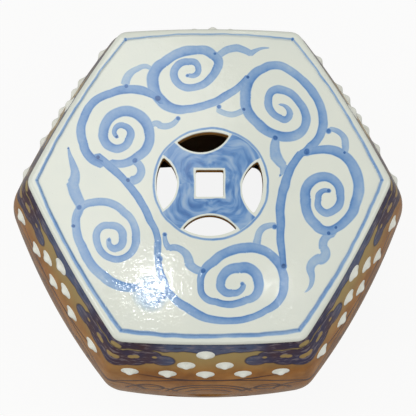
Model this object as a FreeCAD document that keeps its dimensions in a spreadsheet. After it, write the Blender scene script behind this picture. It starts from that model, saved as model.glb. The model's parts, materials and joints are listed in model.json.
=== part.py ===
"""A hexagonal ceramic garden stool, in millimetres.

The stool is a hollow barrel with six bowed side slabs, a pierced top slab and a foot ring.
+Z is up and the origin is on the floor, under the middle of the stool. The front slab faces -Y,
and two corners of the hexagon lie on the X axis.
"""

import FreeCAD, Part
import Sketcher
import math
import os
from FreeCAD import Placement, Rotation, Vector

SIDES = 6
SIDE_TURN = 360 / SIDES
HOLE_TURNS = 4

# The driving dimensions, one row each: alias and value.
DRIVING = [
    # The whole stool
    ("stool_height", 440),
    ("bow_centre", 975),
    # The top slab
    ("slab_thickness", 12),
    ("rim_overhang", 4.5),
    ("rim_corner_round", 11),
    ("rim_roll", 7),
    ("bead_width", 8.5),
    ("field_recess", 1.2),
    ("field_corner_round", 5),
    # The barrel
    ("neck_half_width", 147.5),
    ("belly_half_width", 191.5),
    ("wall_thickness", 12.5),
    # The foot ring
    ("foot_height", 14),
    ("foot_width", 26),
    ("foot_bevel", 3),
    # The coin shaped piercing of the top
    ("coin_radius", 50),
    ("lens_chord", 50),
    ("lens_inner_rise", 13),
    ("coin_square", 26),
    ("cut_corner_round", 1.6),
    ("coin_shift", -2.5),
    ("lens_lean_right", -5),
    ("lens_lean_back", 98),
    ("lens_lean_left", 180),
    ("lens_lean_front", -90),
    # The coin shaped hand hold in the front and back slabs
    ("grip_radius", 47),
    ("grip_chord", 47),
    ("grip_inner_rise", 12.5),
    ("grip_square", 25),
    # The bosses
    ("boss_radius", 9.2),
    ("boss_height", 5.4),
    ("boss_tip_radius", 2.6),
    ("boss_lip", 0.6),
    ("boss_pitch", 36.7),
    ("boss_shift", -4),
    ("boss_first_row", 30),
    ("boss_row_step", 23.5),
    # The clay coils that back the joints
    ("corner_coil_depth", 9),
    ("top_coil_height", 11),
    ("top_coil_width", 13),
    ("top_coil_round", 5),
]

# Values that follow from the driving dimensions: alias and formula.
DERIVED = [
    ("rim_half_width", "neck_half_width + rim_overhang"),
    ("slab_under", "stool_height - slab_thickness"),
    ("barrel_height", "stool_height - slab_thickness - foot_height"),
    ("mid_height", "stool_height / 2"),
    ("belly_swell", "belly_half_width - neck_half_width"),
    ("profile_radius", "(mid_height ^ 2 + belly_swell ^ 2) / (2 * belly_swell)"),
    ("profile_centre", "belly_half_width - profile_radius"),
    ("inner_radius", "profile_radius - wall_thickness"),
    ("top_rise", "mid_height - slab_thickness"),
    ("inner_neck", "profile_centre + sqrt(inner_radius ^ 2 - top_rise ^ 2)"),
    ("neck_corner", "inner_neck * 2 / sqrt(3)"),
    ("belly_corner", "(belly_half_width - wall_thickness) * 2 / sqrt(3)"),
    ("corner_swell", "belly_corner - neck_corner"),
    ("corner_curve", "(top_rise ^ 2 + corner_swell ^ 2) / (2 * corner_swell)"),
    ("coil_hole_corner", "(inner_neck - top_coil_width) * 2 / sqrt(3)"),
]

# The six side slabs by name, with the direction that each one faces.
FACES = {
    "front": -90,
    "front_right": -30,
    "back_right": 30,
    "back": 90,
    "back_left": 150,
    "front_left": 210,
}
# The six corners between them, with the direction of each one.
CORNERS = {
    "right": 0,
    "back_right": 60,
    "back_left": 120,
    "left": 180,
    "front_left": 240,
    "front_right": 300,
}
PIERCED_FACES = ("front", "back")
BOSS_SIDES = 8
# A sector or a barrel is drawn with one side facing +X; this turn brings a corner there instead.
CORNER_TURN = SIDE_TURN / 2
# The bosses of one zone: the row, counted from the rim, and the places along it in pitches.
BOSS_ROWS = {0: (0,), 1: (-0.5, 0.5), 2: (-2, -1, 0, 1, 2)}

doc = FreeCAD.newDocument("garden_stool")
sheet = doc.addObject("Spreadsheet::Sheet", "sizes")


def fill_sheet():
    """Write the driving dimensions as plain numbers and the derived ones as formulas."""
    row = 1
    for alias, value in DRIVING:
        sheet.set(f"A{row}", alias.replace("_", " "))
        sheet.set(f"B{row}", str(value))
        sheet.setAlias(f"B{row}", alias)
        row += 1
    doc.recompute()
    for alias, formula in DERIVED:
        sheet.set(f"A{row}", alias.replace("_", " "))
        sheet.set(f"B{row}", "=" + formula)
        sheet.setAlias(f"B{row}", alias)
        doc.recompute()
        row += 1


def size(alias):
    """The number in the sheet's cell of this alias."""
    return float(getattr(sheet, alias))


def bind(thing, **formulas):
    """Tie properties to formulas; a double underscore stands for a dot in the property's path."""
    for path, formula in formulas.items():
        thing.setExpression(path.replace("__", "."), formula)


def origin_feature(body, role):
    """A plane or axis of the body's own origin."""
    return next(f for f in body.Origin.OriginFeatures if f.Role == role)


def new_body(name):
    """An empty body with its own label."""
    body = doc.addObject("PartDesign::Body", name)
    body.Label = name
    return body


def new_sketch(body, name, plane="XY_Plane", height=None, turn=None, shift=None):
    """A sketch on one of the body's planes, moved along or turned about its normal, or shifted in it."""
    sketch = body.newObject("Sketcher::SketchObject", name)
    sketch.AttachmentSupport = [(origin_feature(body, plane), "")]
    sketch.MapMode = "FlatFace"
    if height:
        bind(sketch, AttachmentOffset__Base__z=height)
    if turn:
        bind(sketch, AttachmentOffset__Rotation__Angle=turn)
    if shift:
        bind(sketch, AttachmentOffset__Base__y=shift)
    return sketch


def constrain(sketch, kind, *where, formula=None):
    """Add a constraint, tied to a formula where one is given."""
    index = sketch.addConstraint(Sketcher.Constraint(kind, *where))
    if formula:
        sketch.setExpression(f"Constraints[{index}]", formula)


def draw_sector(sketch, half_width, inset=None):
    """A sixth of a bowed hexagon: two radii and one side, whose middle is half a width away."""
    reach = size(half_width)
    formula = f"sizes.bow_centre + sizes.{half_width}"
    if inset:
        reach -= size(inset)
        formula += f" - sizes.{inset}"
    corner = Vector(reach, reach * math.tan(math.radians(CORNER_TURN)), 0)
    low_corner = Vector(corner.x, -corner.y, 0)
    centre = Vector(-size("bow_centre"), 0, 0)
    radius = (corner - centre).Length
    spread = math.atan2(corner.y, corner.x - centre.x)
    low = sketch.addGeometry(Part.LineSegment(Vector(0, 0, 0), low_corner))
    high = sketch.addGeometry(Part.LineSegment(Vector(0, 0, 0), corner))
    circle = Part.Circle(centre, Vector(0, 0, 1), radius)
    side = sketch.addGeometry(Part.ArcOfCircle(circle, -spread, spread))
    constrain(sketch, "Coincident", low, 1, -1, 1)
    constrain(sketch, "Coincident", high, 1, -1, 1)
    constrain(sketch, "Coincident", side, 1, low, 2)
    constrain(sketch, "Coincident", side, 2, high, 2)
    constrain(sketch, "PointOnObject", side, 3, -1)
    constrain(sketch, "Angle", low, math.radians(-CORNER_TURN))
    constrain(sketch, "Angle", high, math.radians(CORNER_TURN))
    constrain(sketch, "Distance", -1, 1, side, 3, -centre.x, formula="sizes.bow_centre")
    constrain(sketch, "Radius", side, radius, formula=formula)


def draw_lens(sketch, radius, chord, rise):
    """A lens shaped hole: its outer arc lies on the coin's circle, its inner one bulges inwards."""
    outer = size(radius)
    half = size(chord) / 2
    inner_rise = size(rise)
    offset = math.sqrt(outer ** 2 - half ** 2)
    inner = (half ** 2 + inner_rise ** 2) / (2 * inner_rise)
    middle = offset - inner_rise + inner
    reach = math.asin(half / outer)
    inner_reach = math.asin(half / inner)
    coin = Part.Circle(Vector(0, 0, 0), Vector(0, 0, 1), outer)
    bulge = Part.Circle(Vector(middle, 0, 0), Vector(0, 0, 1), inner)
    far = sketch.addGeometry(Part.ArcOfCircle(coin, -reach, reach))
    near = sketch.addGeometry(Part.ArcOfCircle(bulge, math.pi - inner_reach, math.pi + inner_reach))
    constrain(sketch, "Coincident", far, 3, -1, 1)
    constrain(sketch, "Coincident", far, 2, near, 1)
    constrain(sketch, "Coincident", far, 1, near, 2)
    constrain(sketch, "PointOnObject", near, 3, -1)
    constrain(sketch, "Radius", far, outer, formula=f"sizes.{radius}")
    constrain(sketch, "DistanceY", far, 1, far, 2, 2 * half, formula=f"sizes.{chord}")
    inner_formula = f"((sizes.{chord} / 2) ^ 2 + sizes.{rise} ^ 2) / (2 * sizes.{rise})"
    constrain(sketch, "Radius", near, inner, formula=inner_formula)


def draw_square(sketch, side):
    """The square hole in the middle of the coin."""
    half = size(side) / 2
    ends = [Vector(half, half, 0), Vector(-half, half, 0), Vector(-half, -half, 0), Vector(half, -half, 0)]
    lines = []
    for number, start in enumerate(ends):
        lines.append(sketch.addGeometry(Part.LineSegment(start, ends[(number + 1) % 4])))
    for number, line in enumerate(lines):
        constrain(sketch, "Coincident", line, 2, lines[(number + 1) % 4], 1)
        constrain(sketch, ("Horizontal", "Vertical")[number % 2], line)
    constrain(sketch, "Symmetric", lines[0], 1, lines[2], 1, -1, 1)
    constrain(sketch, "DistanceX", lines[0], 2, lines[0], 1, 2 * half, formula=f"sizes.{side}")
    constrain(sketch, "DistanceY", lines[1], 2, lines[1], 1, 2 * half, formula=f"sizes.{side}")


def pattern(body, name, original, axis, count):
    """Repeat a feature evenly round one of the body's axes."""
    repeated = body.newObject("PartDesign::PolarPattern", name)
    repeated.Originals = [original]
    repeated.Axis = (origin_feature(body, axis), [""])
    repeated.Angle = 360
    repeated.Occurrences = count
    body.Tip = repeated
    return repeated


def pad(body, name, sketch, length):
    """Thicken a sketch upwards."""
    feature = body.newObject("PartDesign::Pad", name)
    feature.Profile = sketch
    bind(feature, Length=length)
    return feature


def pocket(body, name, sketch, depth=None):
    """Cut a sketch downwards to a depth, or right through both ways."""
    feature = body.newObject("PartDesign::Pocket", name)
    feature.Profile = sketch
    if depth:
        bind(feature, Length=depth)
    else:
        feature.Type = "ThroughAll"
        feature.Midplane = True
    return feature


def edge_names(base, chosen):
    """The names of the edges that the test picks."""
    return [f"Edge{n}" for n, edge in enumerate(base.Shape.Edges, 1) if chosen(edge)]


def round_edges(body, name, base, chosen, radius):
    """Round the edges of the last feature that the test picks."""
    doc.recompute()
    feature = body.newObject("PartDesign::Fillet", name)
    feature.Base = (base, edge_names(base, chosen))
    bind(feature, Radius=radius)
    body.Tip = feature
    return feature


def is_upright(edge):
    """Whether an edge stands straight up."""
    box = edge.BoundBox
    return box.ZLength > 0.1 and box.XLength < 0.01 and box.YLength < 0.01


def lies_at(edge, height):
    """Whether an edge lies flat at this height."""
    box = edge.BoundBox
    return abs(box.ZMin - height) < 0.01 and abs(box.ZMax - height) < 0.01


def span(edge):
    """How far the middle of an edge is from the stool's axis."""
    middle = edge.valueAt((edge.FirstParameter + edge.LastParameter) / 2)
    return math.hypot(middle.x, middle.y)


def half_width_at(edge):
    """The half width of the bowed hexagon that passes through the start of an edge."""
    point = edge.Vertexes[0].Point
    reaches = []
    for turn in FACES.values():
        facing = Vector(math.cos(math.radians(turn)), math.sin(math.radians(turn)), 0)
        centre = facing * -size("bow_centre")
        reaches.append(math.hypot(point.x - centre.x, point.y - centre.y))
    return max(reaches) - size("bow_centre")


def make_top_slab():
    """The top: a bowed hexagon with a rolled rim, a recessed field and a pierced coin."""
    body = new_body("top_slab")
    outline = new_sketch(body, "rim_outline", height="sizes.slab_under", turn=f"{CORNER_TURN}")
    draw_sector(outline, "rim_half_width")
    sector = pad(body, "slab_sector", outline, "sizes.slab_thickness")
    blank = pattern(body, "slab_blank", sector, "Z_Axis", SIDES)
    round_edges(body, "rim_corners", blank, is_upright, "sizes.rim_corner_round")
    field_outline = new_sketch(body, "field_outline", height="sizes.stool_height", turn=f"{CORNER_TURN}")
    draw_sector(field_outline, "rim_half_width", "bead_width")
    recess = pocket(body, "field_sector", field_outline, "sizes.field_recess")
    field = pattern(body, "field", recess, "Z_Axis", SIDES)
    field_corners = round_edges(
        body, "field_corners", field,
        lambda edge: is_upright(edge) and edge.Length < 2 * size("field_recess"),
        "sizes.field_corner_round",
    )
    inside = size("rim_half_width") - size("bead_width") / 2
    high = size("stool_height")
    last = round_edges(
        body, "rolled_rim", field_corners,
        lambda edge: lies_at(edge, high) and half_width_at(edge) > inside,
        "sizes.rim_roll",
    )
    top = {"height": "sizes.stool_height", "shift": "sizes.coin_shift"}
    for side in ("right", "back", "left", "front"):
        lens = new_sketch(body, f"lens_{side}", turn=f"sizes.lens_lean_{side}", **top)
        draw_lens(lens, "coin_radius", "lens_chord", "lens_inner_rise")
        last = pocket(body, f"lens_hole_{side}", lens)
    square = new_sketch(body, "square", **top)
    draw_square(square, "coin_square")
    last = pocket(body, "square_hole", square)
    reach = size("coin_radius") + abs(size("coin_shift")) + 1
    round_edges(
        body, "cut_corners", last,
        lambda edge: is_upright(edge) and span(edge) < reach,
        "sizes.cut_corner_round",
    )
    return body


def make_foot_ring():
    """The foot: a bowed hexagonal ring that the side slabs stand on."""
    body = new_body("foot_ring")
    outline = new_sketch(body, "foot_outline", turn=f"{CORNER_TURN}")
    draw_sector(outline, "rim_half_width")
    sector = pad(body, "foot_sector", outline, "sizes.foot_height")
    blank = pattern(body, "foot_blank", sector, "Z_Axis", SIDES)
    round_edges(body, "foot_corners", blank, is_upright, "sizes.rim_corner_round")
    opening = new_sketch(body, "opening_outline", height="sizes.foot_height", turn=f"{CORNER_TURN}")
    draw_sector(opening, "rim_half_width", "foot_width")
    cut = pocket(body, "opening_sector", opening)
    ring = pattern(body, "opening", cut, "Z_Axis", SIDES)
    doc.recompute()
    outside = size("rim_half_width") - size("foot_width") / 2
    bevel = body.newObject("PartDesign::Chamfer", "foot_edge")
    bevel.Base = (ring, edge_names(ring, lambda edge: lies_at(edge, 0) and half_width_at(edge) > outside))
    bind(bevel, Size="sizes.foot_bevel")
    body.Tip = bevel
    return body


def make_profile(name, radius):
    """The barrel's section from the bow's centre line out to an arc of this radius."""
    sketch = doc.addObject("Sketcher::SketchObject", name)
    sketch.Placement = Placement(Vector(0, 0, 0), Rotation(Vector(1, 0, 0), 90))
    low = size("foot_height")
    high = size("slab_under")
    middle = size("mid_height")
    arc_radius = size(radius)
    back = -size("bow_centre")
    centre = Vector(size("profile_centre"), middle, 0)
    low_x = centre.x + math.sqrt(arc_radius ** 2 - (middle - low) ** 2)
    high_x = centre.x + math.sqrt(arc_radius ** 2 - (high - middle) ** 2)
    start = math.atan2(low - middle, low_x - centre.x)
    end = math.atan2(high - middle, high_x - centre.x)
    bottom = sketch.addGeometry(Part.LineSegment(Vector(back, low, 0), Vector(low_x, low, 0)))
    circle = Part.Circle(centre, Vector(0, 0, 1), arc_radius)
    side = sketch.addGeometry(Part.ArcOfCircle(circle, start, end))
    top = sketch.addGeometry(Part.LineSegment(Vector(high_x, high, 0), Vector(back, high, 0)))
    axis = sketch.addGeometry(Part.LineSegment(Vector(back, high, 0), Vector(back, low, 0)))
    constrain(sketch, "Coincident", bottom, 2, side, 1)
    constrain(sketch, "Coincident", side, 2, top, 1)
    constrain(sketch, "Coincident", top, 2, axis, 1)
    constrain(sketch, "Coincident", axis, 2, bottom, 1)
    constrain(sketch, "Horizontal", bottom)
    constrain(sketch, "Horizontal", top)
    constrain(sketch, "Vertical", axis)
    constrain(sketch, "DistanceY", -1, 1, bottom, 1, low, formula="sizes.foot_height")
    constrain(sketch, "DistanceY", -1, 1, top, 2, high, formula="sizes.slab_under")
    constrain(sketch, "DistanceX", axis, 1, -1, 1, -back, formula="sizes.bow_centre")
    constrain(sketch, "DistanceX", side, 3, -1, 1, -centre.x, formula="-sizes.profile_centre")
    constrain(sketch, "DistanceY", -1, 1, side, 3, middle, formula="sizes.mid_height")
    constrain(sketch, "Radius", side, arc_radius, formula=f"sizes.{radius}")
    return sketch


def make_bowed_side(name, profile):
    """A solid behind a side that bows both ways, turned about a far upright axis."""
    solid = doc.addObject("Part::Revolution", name)
    solid.Source = profile
    solid.Axis = Vector(0, 0, 1)
    solid.Angle = SIDE_TURN
    solid.Symmetric = True
    solid.Solid = True
    bind(solid, Base__x="-sizes.bow_centre")
    return solid


def make_level_side(name, profile):
    """A solid behind a side that bows up and down only."""
    solid = doc.addObject("Part::Extrusion", name)
    solid.Base = profile
    solid.Dir = Vector(0, 1, 0)
    solid.Symmetric = True
    solid.Solid = True
    bind(solid, LengthFwd="sizes.bow_centre")
    return solid


def make_barrel(name, radius, make_side):
    """Six such solids, whose common part is a barrel with six sides."""
    profile = make_profile(f"{name}_profile", radius)
    turned = []
    for number in range(SIDES):
        solid = make_side(f"{name}_side_{number}", profile)
        solid.Placement = Placement(Vector(0, 0, 0), Rotation(Vector(0, 0, 1), SIDE_TURN * number))
        turned.append(solid)
    barrel = doc.addObject("Part::MultiCommon", name)
    barrel.Shapes = turned
    doc.recompute()
    return barrel


def fillet(name, base, chosen, radius):
    """Round the edges of a solid that the test picks."""
    rounded = doc.addObject("Part::Fillet", name)
    rounded.Base = base
    numbers = [n for n, edge in enumerate(base.Shape.Edges, 1) if chosen(edge)]
    rounded.Edges = [(n, size(radius), size(radius)) for n in numbers]
    doc.recompute()
    return rounded


def cut(name, base, tool):
    """One solid less another."""
    result = doc.addObject("Part::Cut", name)
    result.Base = base
    result.Tool = tool
    return result


def common(name, *shapes):
    """What several solids share."""
    result = doc.addObject("Part::MultiCommon", name)
    result.Shapes = list(shapes)
    return result


def place_copy(name, master, turn):
    """A copy of a master piece, turned about the stool's axis."""
    piece = doc.addObject("Part::Compound", name)
    piece.Label = name
    piece.Links = [master]
    piece.Placement = Placement(Vector(0, 0, 0), Rotation(Vector(0, 0, 1), turn))
    return piece


def make_grip_tool():
    """The coin shaped cutter for a hand hold, pointing along +X at mid height."""
    body = new_body("grip_tool")
    lens = new_sketch(body, "grip_lens", plane="YZ_Plane")
    draw_lens(lens, "grip_radius", "grip_chord", "grip_inner_rise")
    prism = pad(body, "grip_prism", lens, "sizes.belly_half_width * 2")
    pattern(body, "grip_lenses", prism, "X_Axis", HOLE_TURNS)
    square = new_sketch(body, "grip_middle", plane="YZ_Plane")
    draw_square(square, "grip_square")
    pad(body, "grip_square_prism", square, "sizes.belly_half_width * 2")
    bind(body, Placement__Base__z="sizes.mid_height")
    return body


def make_walls(inner):
    """The six side slabs, mitred at the corners. The front and back ones are pierced."""
    outer = make_barrel("outer_barrel", "profile_radius", make_bowed_side)
    shell = cut("barrel_shell", outer, inner)
    sector = doc.addObject("Part::Cylinder", "face_sector")
    sector.Angle = SIDE_TURN
    sector.Placement = Placement(Vector(0, 0, 0), Rotation(Vector(0, 0, 1), -CORNER_TURN))
    bind(sector, Radius="sizes.belly_half_width * 2", Height="sizes.stool_height")
    plain = common("plain_slab", shell, sector)
    pierced = cut("pierced_slab", plain, make_grip_tool())
    walls = []
    for face, turn in FACES.items():
        master = pierced if face in PIERCED_FACES else plain
        walls.append(place_copy(f"wall_{face}", master, turn))
    return walls


def make_boss():
    """One stud on its own axis, which points along +X: eight sides that slope to a small flat tip."""
    prism = doc.addObject("Part::Prism", "boss_prism")
    prism.Polygon = BOSS_SIDES
    prism.Placement = Placement(Vector(0, 0, 0), Rotation(Vector(0, 1, 0), 90))
    bind(prism, Circumradius="sizes.boss_radius", Height="sizes.boss_height")
    doc.recompute()
    boss = doc.addObject("Part::Chamfer", "boss")
    boss.Base = prism
    tip = size("boss_height")
    inset = (size("boss_radius") - size("boss_tip_radius")) * math.cos(math.pi / BOSS_SIDES)
    slopes = [n for n, edge in enumerate(prism.Shape.Edges, 1) if edge.BoundBox.XMin > tip - 0.01]
    boss.Edges = [(n, tip - size("boss_lip"), inset) for n in slopes]
    doc.recompute()
    return boss


def place_boss(name, boss, row, place, upper):
    """A boss square to the bowed wall, at a row and a place along it."""
    copy = doc.addObject("Part::Compound", name)
    copy.Links = [boss]
    depth = f"(sizes.boss_first_row + {row} * sizes.boss_row_step)"
    sign = 1 if upper else -1
    lean = f"asin((sizes.mid_height - {depth}) / sizes.profile_radius)"
    reach = f"(sizes.bow_centre + sizes.profile_centre + sizes.profile_radius * cos({lean}))"
    along = f"({place} * sizes.boss_pitch + sizes.boss_shift)"
    turn = f"asin({along} / {reach})"
    bind(
        copy,
        Placement__Base__x=f"{reach} * cos({turn}) - sizes.bow_centre",
        Placement__Base__y=along,
        Placement__Base__z=f"sizes.mid_height + {sign} * (sizes.mid_height - {depth})",
        Placement__Rotation__Yaw=turn,
        Placement__Rotation__Pitch=f"{-sign} * {lean}",
    )
    return copy


def make_bosses():
    """The studs of each face: an upper zone under the rim, and the same one upside down at the foot."""
    boss = make_boss()
    copies = []
    for upper in (True, False):
        zone = "upper" if upper else "lower"
        for row, places in BOSS_ROWS.items():
            for number, place in enumerate(places):
                copies.append(place_boss(f"boss_{zone}_{row}_{number}", boss, row, place, upper))
    group = doc.addObject("Part::Compound", "boss_group")
    group.Links = copies
    return [place_copy(f"bosses_{face}", group, turn) for face, turn in FACES.items()]


def make_joint_slice(name, low, height):
    """A flat block, wider than the barrel, between two heights."""
    block = doc.addObject("Part::Box", name)
    wide = "sizes.belly_half_width * 2"
    bind(
        block,
        Length=f"2 * {wide}",
        Width=f"2 * {wide}",
        Height=height,
        Placement__Base__x=f"-{wide}",
        Placement__Base__y=f"-{wide}",
        Placement__Base__z=low,
    )
    return block


def make_corner_coils(cavity):
    """A clay coil smoothed into each inner corner, from the foot ring up to the top coil."""
    core = doc.addObject("Part::Cylinder", "corner_core")
    core.Placement = Placement(Vector(0, 0, 0), Rotation(Vector(1, 0, 0), 90))
    bind(
        core,
        Radius="sizes.corner_curve",
        Height="sizes.belly_half_width * 2",
        Placement__Base__x="sizes.belly_corner - sizes.corner_coil_depth - sizes.corner_curve",
        Placement__Base__y="sizes.belly_half_width",
        Placement__Base__z="sizes.mid_height",
    )
    height = "sizes.barrel_height - sizes.top_coil_height"
    space = make_joint_slice("corner_coil_space", "sizes.foot_height", height)
    corner = doc.addObject("Part::Box", "corner_coil_side")
    bind(
        corner,
        Length="sizes.belly_half_width * 2",
        Width="sizes.belly_half_width",
        Height="sizes.stool_height",
        Placement__Base__y="-sizes.belly_half_width / 2",
    )
    coil = cut("corner_coil", common("corner_coil_blank", cavity, space, corner), core)
    return [place_copy(f"corner_coil_{name}", coil, turn) for name, turn in CORNERS.items()]


def make_top_coil(cavity):
    """The clay coil in the angle under the top slab, smoothed on its inner side."""
    low = "sizes.slab_under - sizes.top_coil_height"
    space = make_joint_slice("top_coil_space", low, "sizes.top_coil_height")
    hole = doc.addObject("Part::Prism", "top_coil_hole")
    hole.Polygon = SIDES
    bind(hole, Circumradius="sizes.coil_hole_corner", Height="sizes.stool_height")
    square_coil = cut("square_top_coil", common("top_coil_blank", cavity, space), hole)
    doc.recompute()
    under = size("slab_under") - size("top_coil_height")
    corner = size("coil_hole_corner")
    coil = fillet(
        "top_joint_coil", square_coil,
        lambda edge: lies_at(edge, under) and edge.Length < corner + 1,
        "top_coil_round",
    )
    coil.Label = "top_joint_coil"
    return coil


def check_document():
    """Stop if any object failed."""
    failed = [thing.Name for thing in doc.Objects if {"Invalid", "Error"} & set(thing.State)]
    if failed:
        raise RuntimeError(f"these failed: {', '.join(failed)}")


def write_parts(pieces):
    """Check each piece and write it to a file of its own."""
    for piece in pieces:
        shape = piece.Shape
        if shape.isNull() or not shape.isValid() or not shape.Solids:
            raise RuntimeError(f"{piece.Label} has no valid solid")
    os.makedirs("parts", exist_ok=True)
    for piece in pieces:
        piece.Shape.exportStep(f"parts/{piece.Label}.step")
        solids = len(piece.Shape.Solids)
        print(f"{piece.Label}: {solids} solids, {piece.Shape.Volume / 1000:.1f} cm3")


fill_sheet()
inner_barrel = make_barrel("inner_barrel", "inner_radius", make_level_side)
pieces = [make_top_slab(), make_foot_ring()]
pieces += make_walls(inner_barrel)
pieces += make_bosses()
cavity = place_copy("cavity", inner_barrel, CORNER_TURN)
pieces += make_corner_coils(cavity)
pieces.append(make_top_coil(cavity))
doc.recompute()
check_document()
write_parts(pieces)
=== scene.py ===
"""Dresses a glazed six-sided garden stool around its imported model.

The barrel, top, studs and foot are modelled again with soft clay edges, and the brush painting
under the glaze is worked out by the shaders from a table of strokes. Lengths in the classes below
are in millimetres unless a name says otherwise. The meshes are in metres.
"""

from __future__ import annotations

import json
import logging
import math
import random
from dataclasses import dataclass
from enum import Enum
from typing import Any, ClassVar, Sequence, Union

import bmesh
import bpy
from mathutils import Matrix, Vector

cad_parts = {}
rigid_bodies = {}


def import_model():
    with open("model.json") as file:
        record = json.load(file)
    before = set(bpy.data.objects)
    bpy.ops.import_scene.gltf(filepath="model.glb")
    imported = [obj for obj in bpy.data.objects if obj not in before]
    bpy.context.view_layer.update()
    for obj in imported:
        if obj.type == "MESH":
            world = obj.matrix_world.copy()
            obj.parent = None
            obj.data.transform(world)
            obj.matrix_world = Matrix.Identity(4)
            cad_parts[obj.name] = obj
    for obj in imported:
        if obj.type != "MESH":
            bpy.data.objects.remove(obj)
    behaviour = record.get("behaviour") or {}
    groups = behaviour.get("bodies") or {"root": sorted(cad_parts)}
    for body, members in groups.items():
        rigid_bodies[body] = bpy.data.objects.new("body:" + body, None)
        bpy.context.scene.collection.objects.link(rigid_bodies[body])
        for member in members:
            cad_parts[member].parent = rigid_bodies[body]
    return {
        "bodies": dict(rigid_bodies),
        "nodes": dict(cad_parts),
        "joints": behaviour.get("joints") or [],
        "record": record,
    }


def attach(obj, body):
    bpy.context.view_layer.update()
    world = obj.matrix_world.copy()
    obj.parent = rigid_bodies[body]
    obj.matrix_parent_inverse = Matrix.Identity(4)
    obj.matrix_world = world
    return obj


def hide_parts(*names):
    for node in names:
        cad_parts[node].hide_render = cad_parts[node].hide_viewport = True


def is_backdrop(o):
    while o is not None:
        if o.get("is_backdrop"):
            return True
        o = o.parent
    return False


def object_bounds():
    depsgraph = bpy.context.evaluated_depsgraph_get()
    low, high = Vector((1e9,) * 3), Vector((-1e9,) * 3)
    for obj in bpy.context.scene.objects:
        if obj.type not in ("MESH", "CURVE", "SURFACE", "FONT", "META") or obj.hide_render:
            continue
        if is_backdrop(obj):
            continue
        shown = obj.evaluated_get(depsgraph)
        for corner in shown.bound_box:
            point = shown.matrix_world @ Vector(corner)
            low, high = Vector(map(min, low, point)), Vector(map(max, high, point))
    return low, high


LOG = logging.getLogger("stool")
MM = 0.001
FLAT = 1e6
ROOT = "root"
FACE_ANGLES = {
    "front": -90.0,
    "front_right": -30.0,
    "back_right": 30.0,
    "back": 90.0,
    "back_left": 150.0,
    "front_left": 210.0,
}
Points = list[tuple[float, float]]
CORNER_NAMES = ("right", "back_right", "back_left", "left", "front_left", "front_right")


class Slot(Enum):
    """The record's material slots."""

    TOP = "top_glaze"
    WALL = "wall_glaze"
    STUD = "boss_glaze"
    FOOT = "foot"
    CLAY = "raw_clay"


@dataclass(frozen=True)
class Barrel:
    """The stool's outline: six sides that bow both ways.

    Attributes:
        height: Height over all.
        slab: Thickness of the top.
        foot: Height of the foot ring.
        bow: Distance from the axis back to the bow's centre at top and bottom.
        belly: Half width at mid height.
        neck: Half width under the rim.
        wall: Thickness of the walls.
        fuller: How much the shoulders swell past the plain arc.
        shoulder: How soon that swell is reached, seen from the ends.
        belly_bow: The bow's distance at mid height, where the sides are rounder.
    """

    height: float = 440.0
    slab: float = 12.0
    foot: float = 14.0
    bow: float = 975.0
    belly: float = 191.5
    neck: float = 147.5
    wall: float = 12.5
    fuller: float = 2.4
    shoulder: float = 1.8
    belly_bow: float = 400.0

    @property
    def radius(self) -> float:
        """Radius of the walls' upright profile."""
        swell = self.belly - self.neck
        return ((self.height / 2) ** 2 + swell**2) / (2 * swell)

    def half_width(self, high: float, inset: float = 0.0) -> float:
        """Half width across the flats.

        Args:
            high: Height above the floor.
            inset: How far inside the outer face.

        Returns:
            The distance from the axis to the middle of a side.
        """
        off = high - self.height / 2
        arc = self.belly - self.radius + math.sqrt((self.radius - inset) ** 2 - off**2)
        if inset:
            return arc
        from_end = 1.0 - abs(2 * off / self.height)
        return arc + self.fuller * (1 - max(1 - self.shoulder * from_end, 0.0) ** 2)

    def bow_at(self, high: float) -> float:
        """Distance from the axis back to the centre of the sides' bow.

        Args:
            high: Height above the floor.

        Returns:
            The distance, shorter where the sides are rounder.
        """
        from_end = max(1.0 - abs(2 * high / self.height - 1.0), 0.0)
        curve = 1 / (self.bow + self.neck)
        belly = 1 / (self.belly_bow + self.belly)
        return 1 / (curve + (belly - curve) * from_end) - self.half_width(high)


def heading(degrees: float, reach: float = 1.0) -> Vector:
    """A level vector that points some degrees round from the X axis."""
    turn = math.radians(degrees)
    return Vector((reach * math.cos(turn), reach * math.sin(turn), 0.0))


def side_reach(angle: float, half_width: float, bow: float) -> float:
    """Distance from the axis to a side that bows about a far centre.

    Args:
        angle: Angle between the ray and the side's middle, in radians.
        half_width: Distance from the axis to the side's middle.
        bow: Distance from the axis back to the bow's centre.

    Returns:
        The length of the ray.
    """
    lean = bow * math.cos(angle)
    return -lean + math.sqrt(lean**2 + 2 * bow * half_width + half_width**2)


def outline_reach(angle: float, half_width: float, bow: float, soft: float) -> float:
    """Distance from the axis to a six-sided outline with rounded corners.

    Args:
        angle: Direction of the ray, in radians.
        half_width: Half width across the flats.
        bow: Distance from the axis back to the bow's centre.
        soft: Radius of the rounded corners, or nought.

    Returns:
        The length of the ray.
    """
    third = math.pi / 3
    turned = (angle % third) - third / 2
    near = side_reach(abs(turned), half_width, bow)
    if soft <= 0:
        return near
    far = side_reach(third - abs(turned), half_width, bow)
    blend = 0.55 * soft  # the two sides' reaches differ by less than this where it rounds
    share = max(blend - (far - near), 0.0) / blend
    return near - share * share * blend / 4


def corner_packed_angles(per_side: int) -> list[float]:
    """Angles round the outline, closer together towards the corners.

    A step is 1.45 times as wide as an even one in the middle of a side, and a tenth at its ends.

    Args:
        per_side: How many steps one side has.

    Returns:
        Angles in radians, starting at the corner on the X axis.
    """
    third = math.pi / 3
    steps = []
    for side in range(6):
        for step in range(per_side):
            part = 2 * step / per_side - 1
            packed = part * (1.45 - 0.45 * part * part)
            steps.append(side * third + third / 2 * (1 + packed))
    return steps


@dataclass
class Ring:
    """One ring of a loft.

    Attributes:
        half_width: Half width across the flats.
        high: Height above the floor.
        bow: Distance from the axis back to the bow's centre.
        soft: Radius of the rounded corners.
    """

    half_width: float
    high: float
    bow: float
    soft: float


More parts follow.
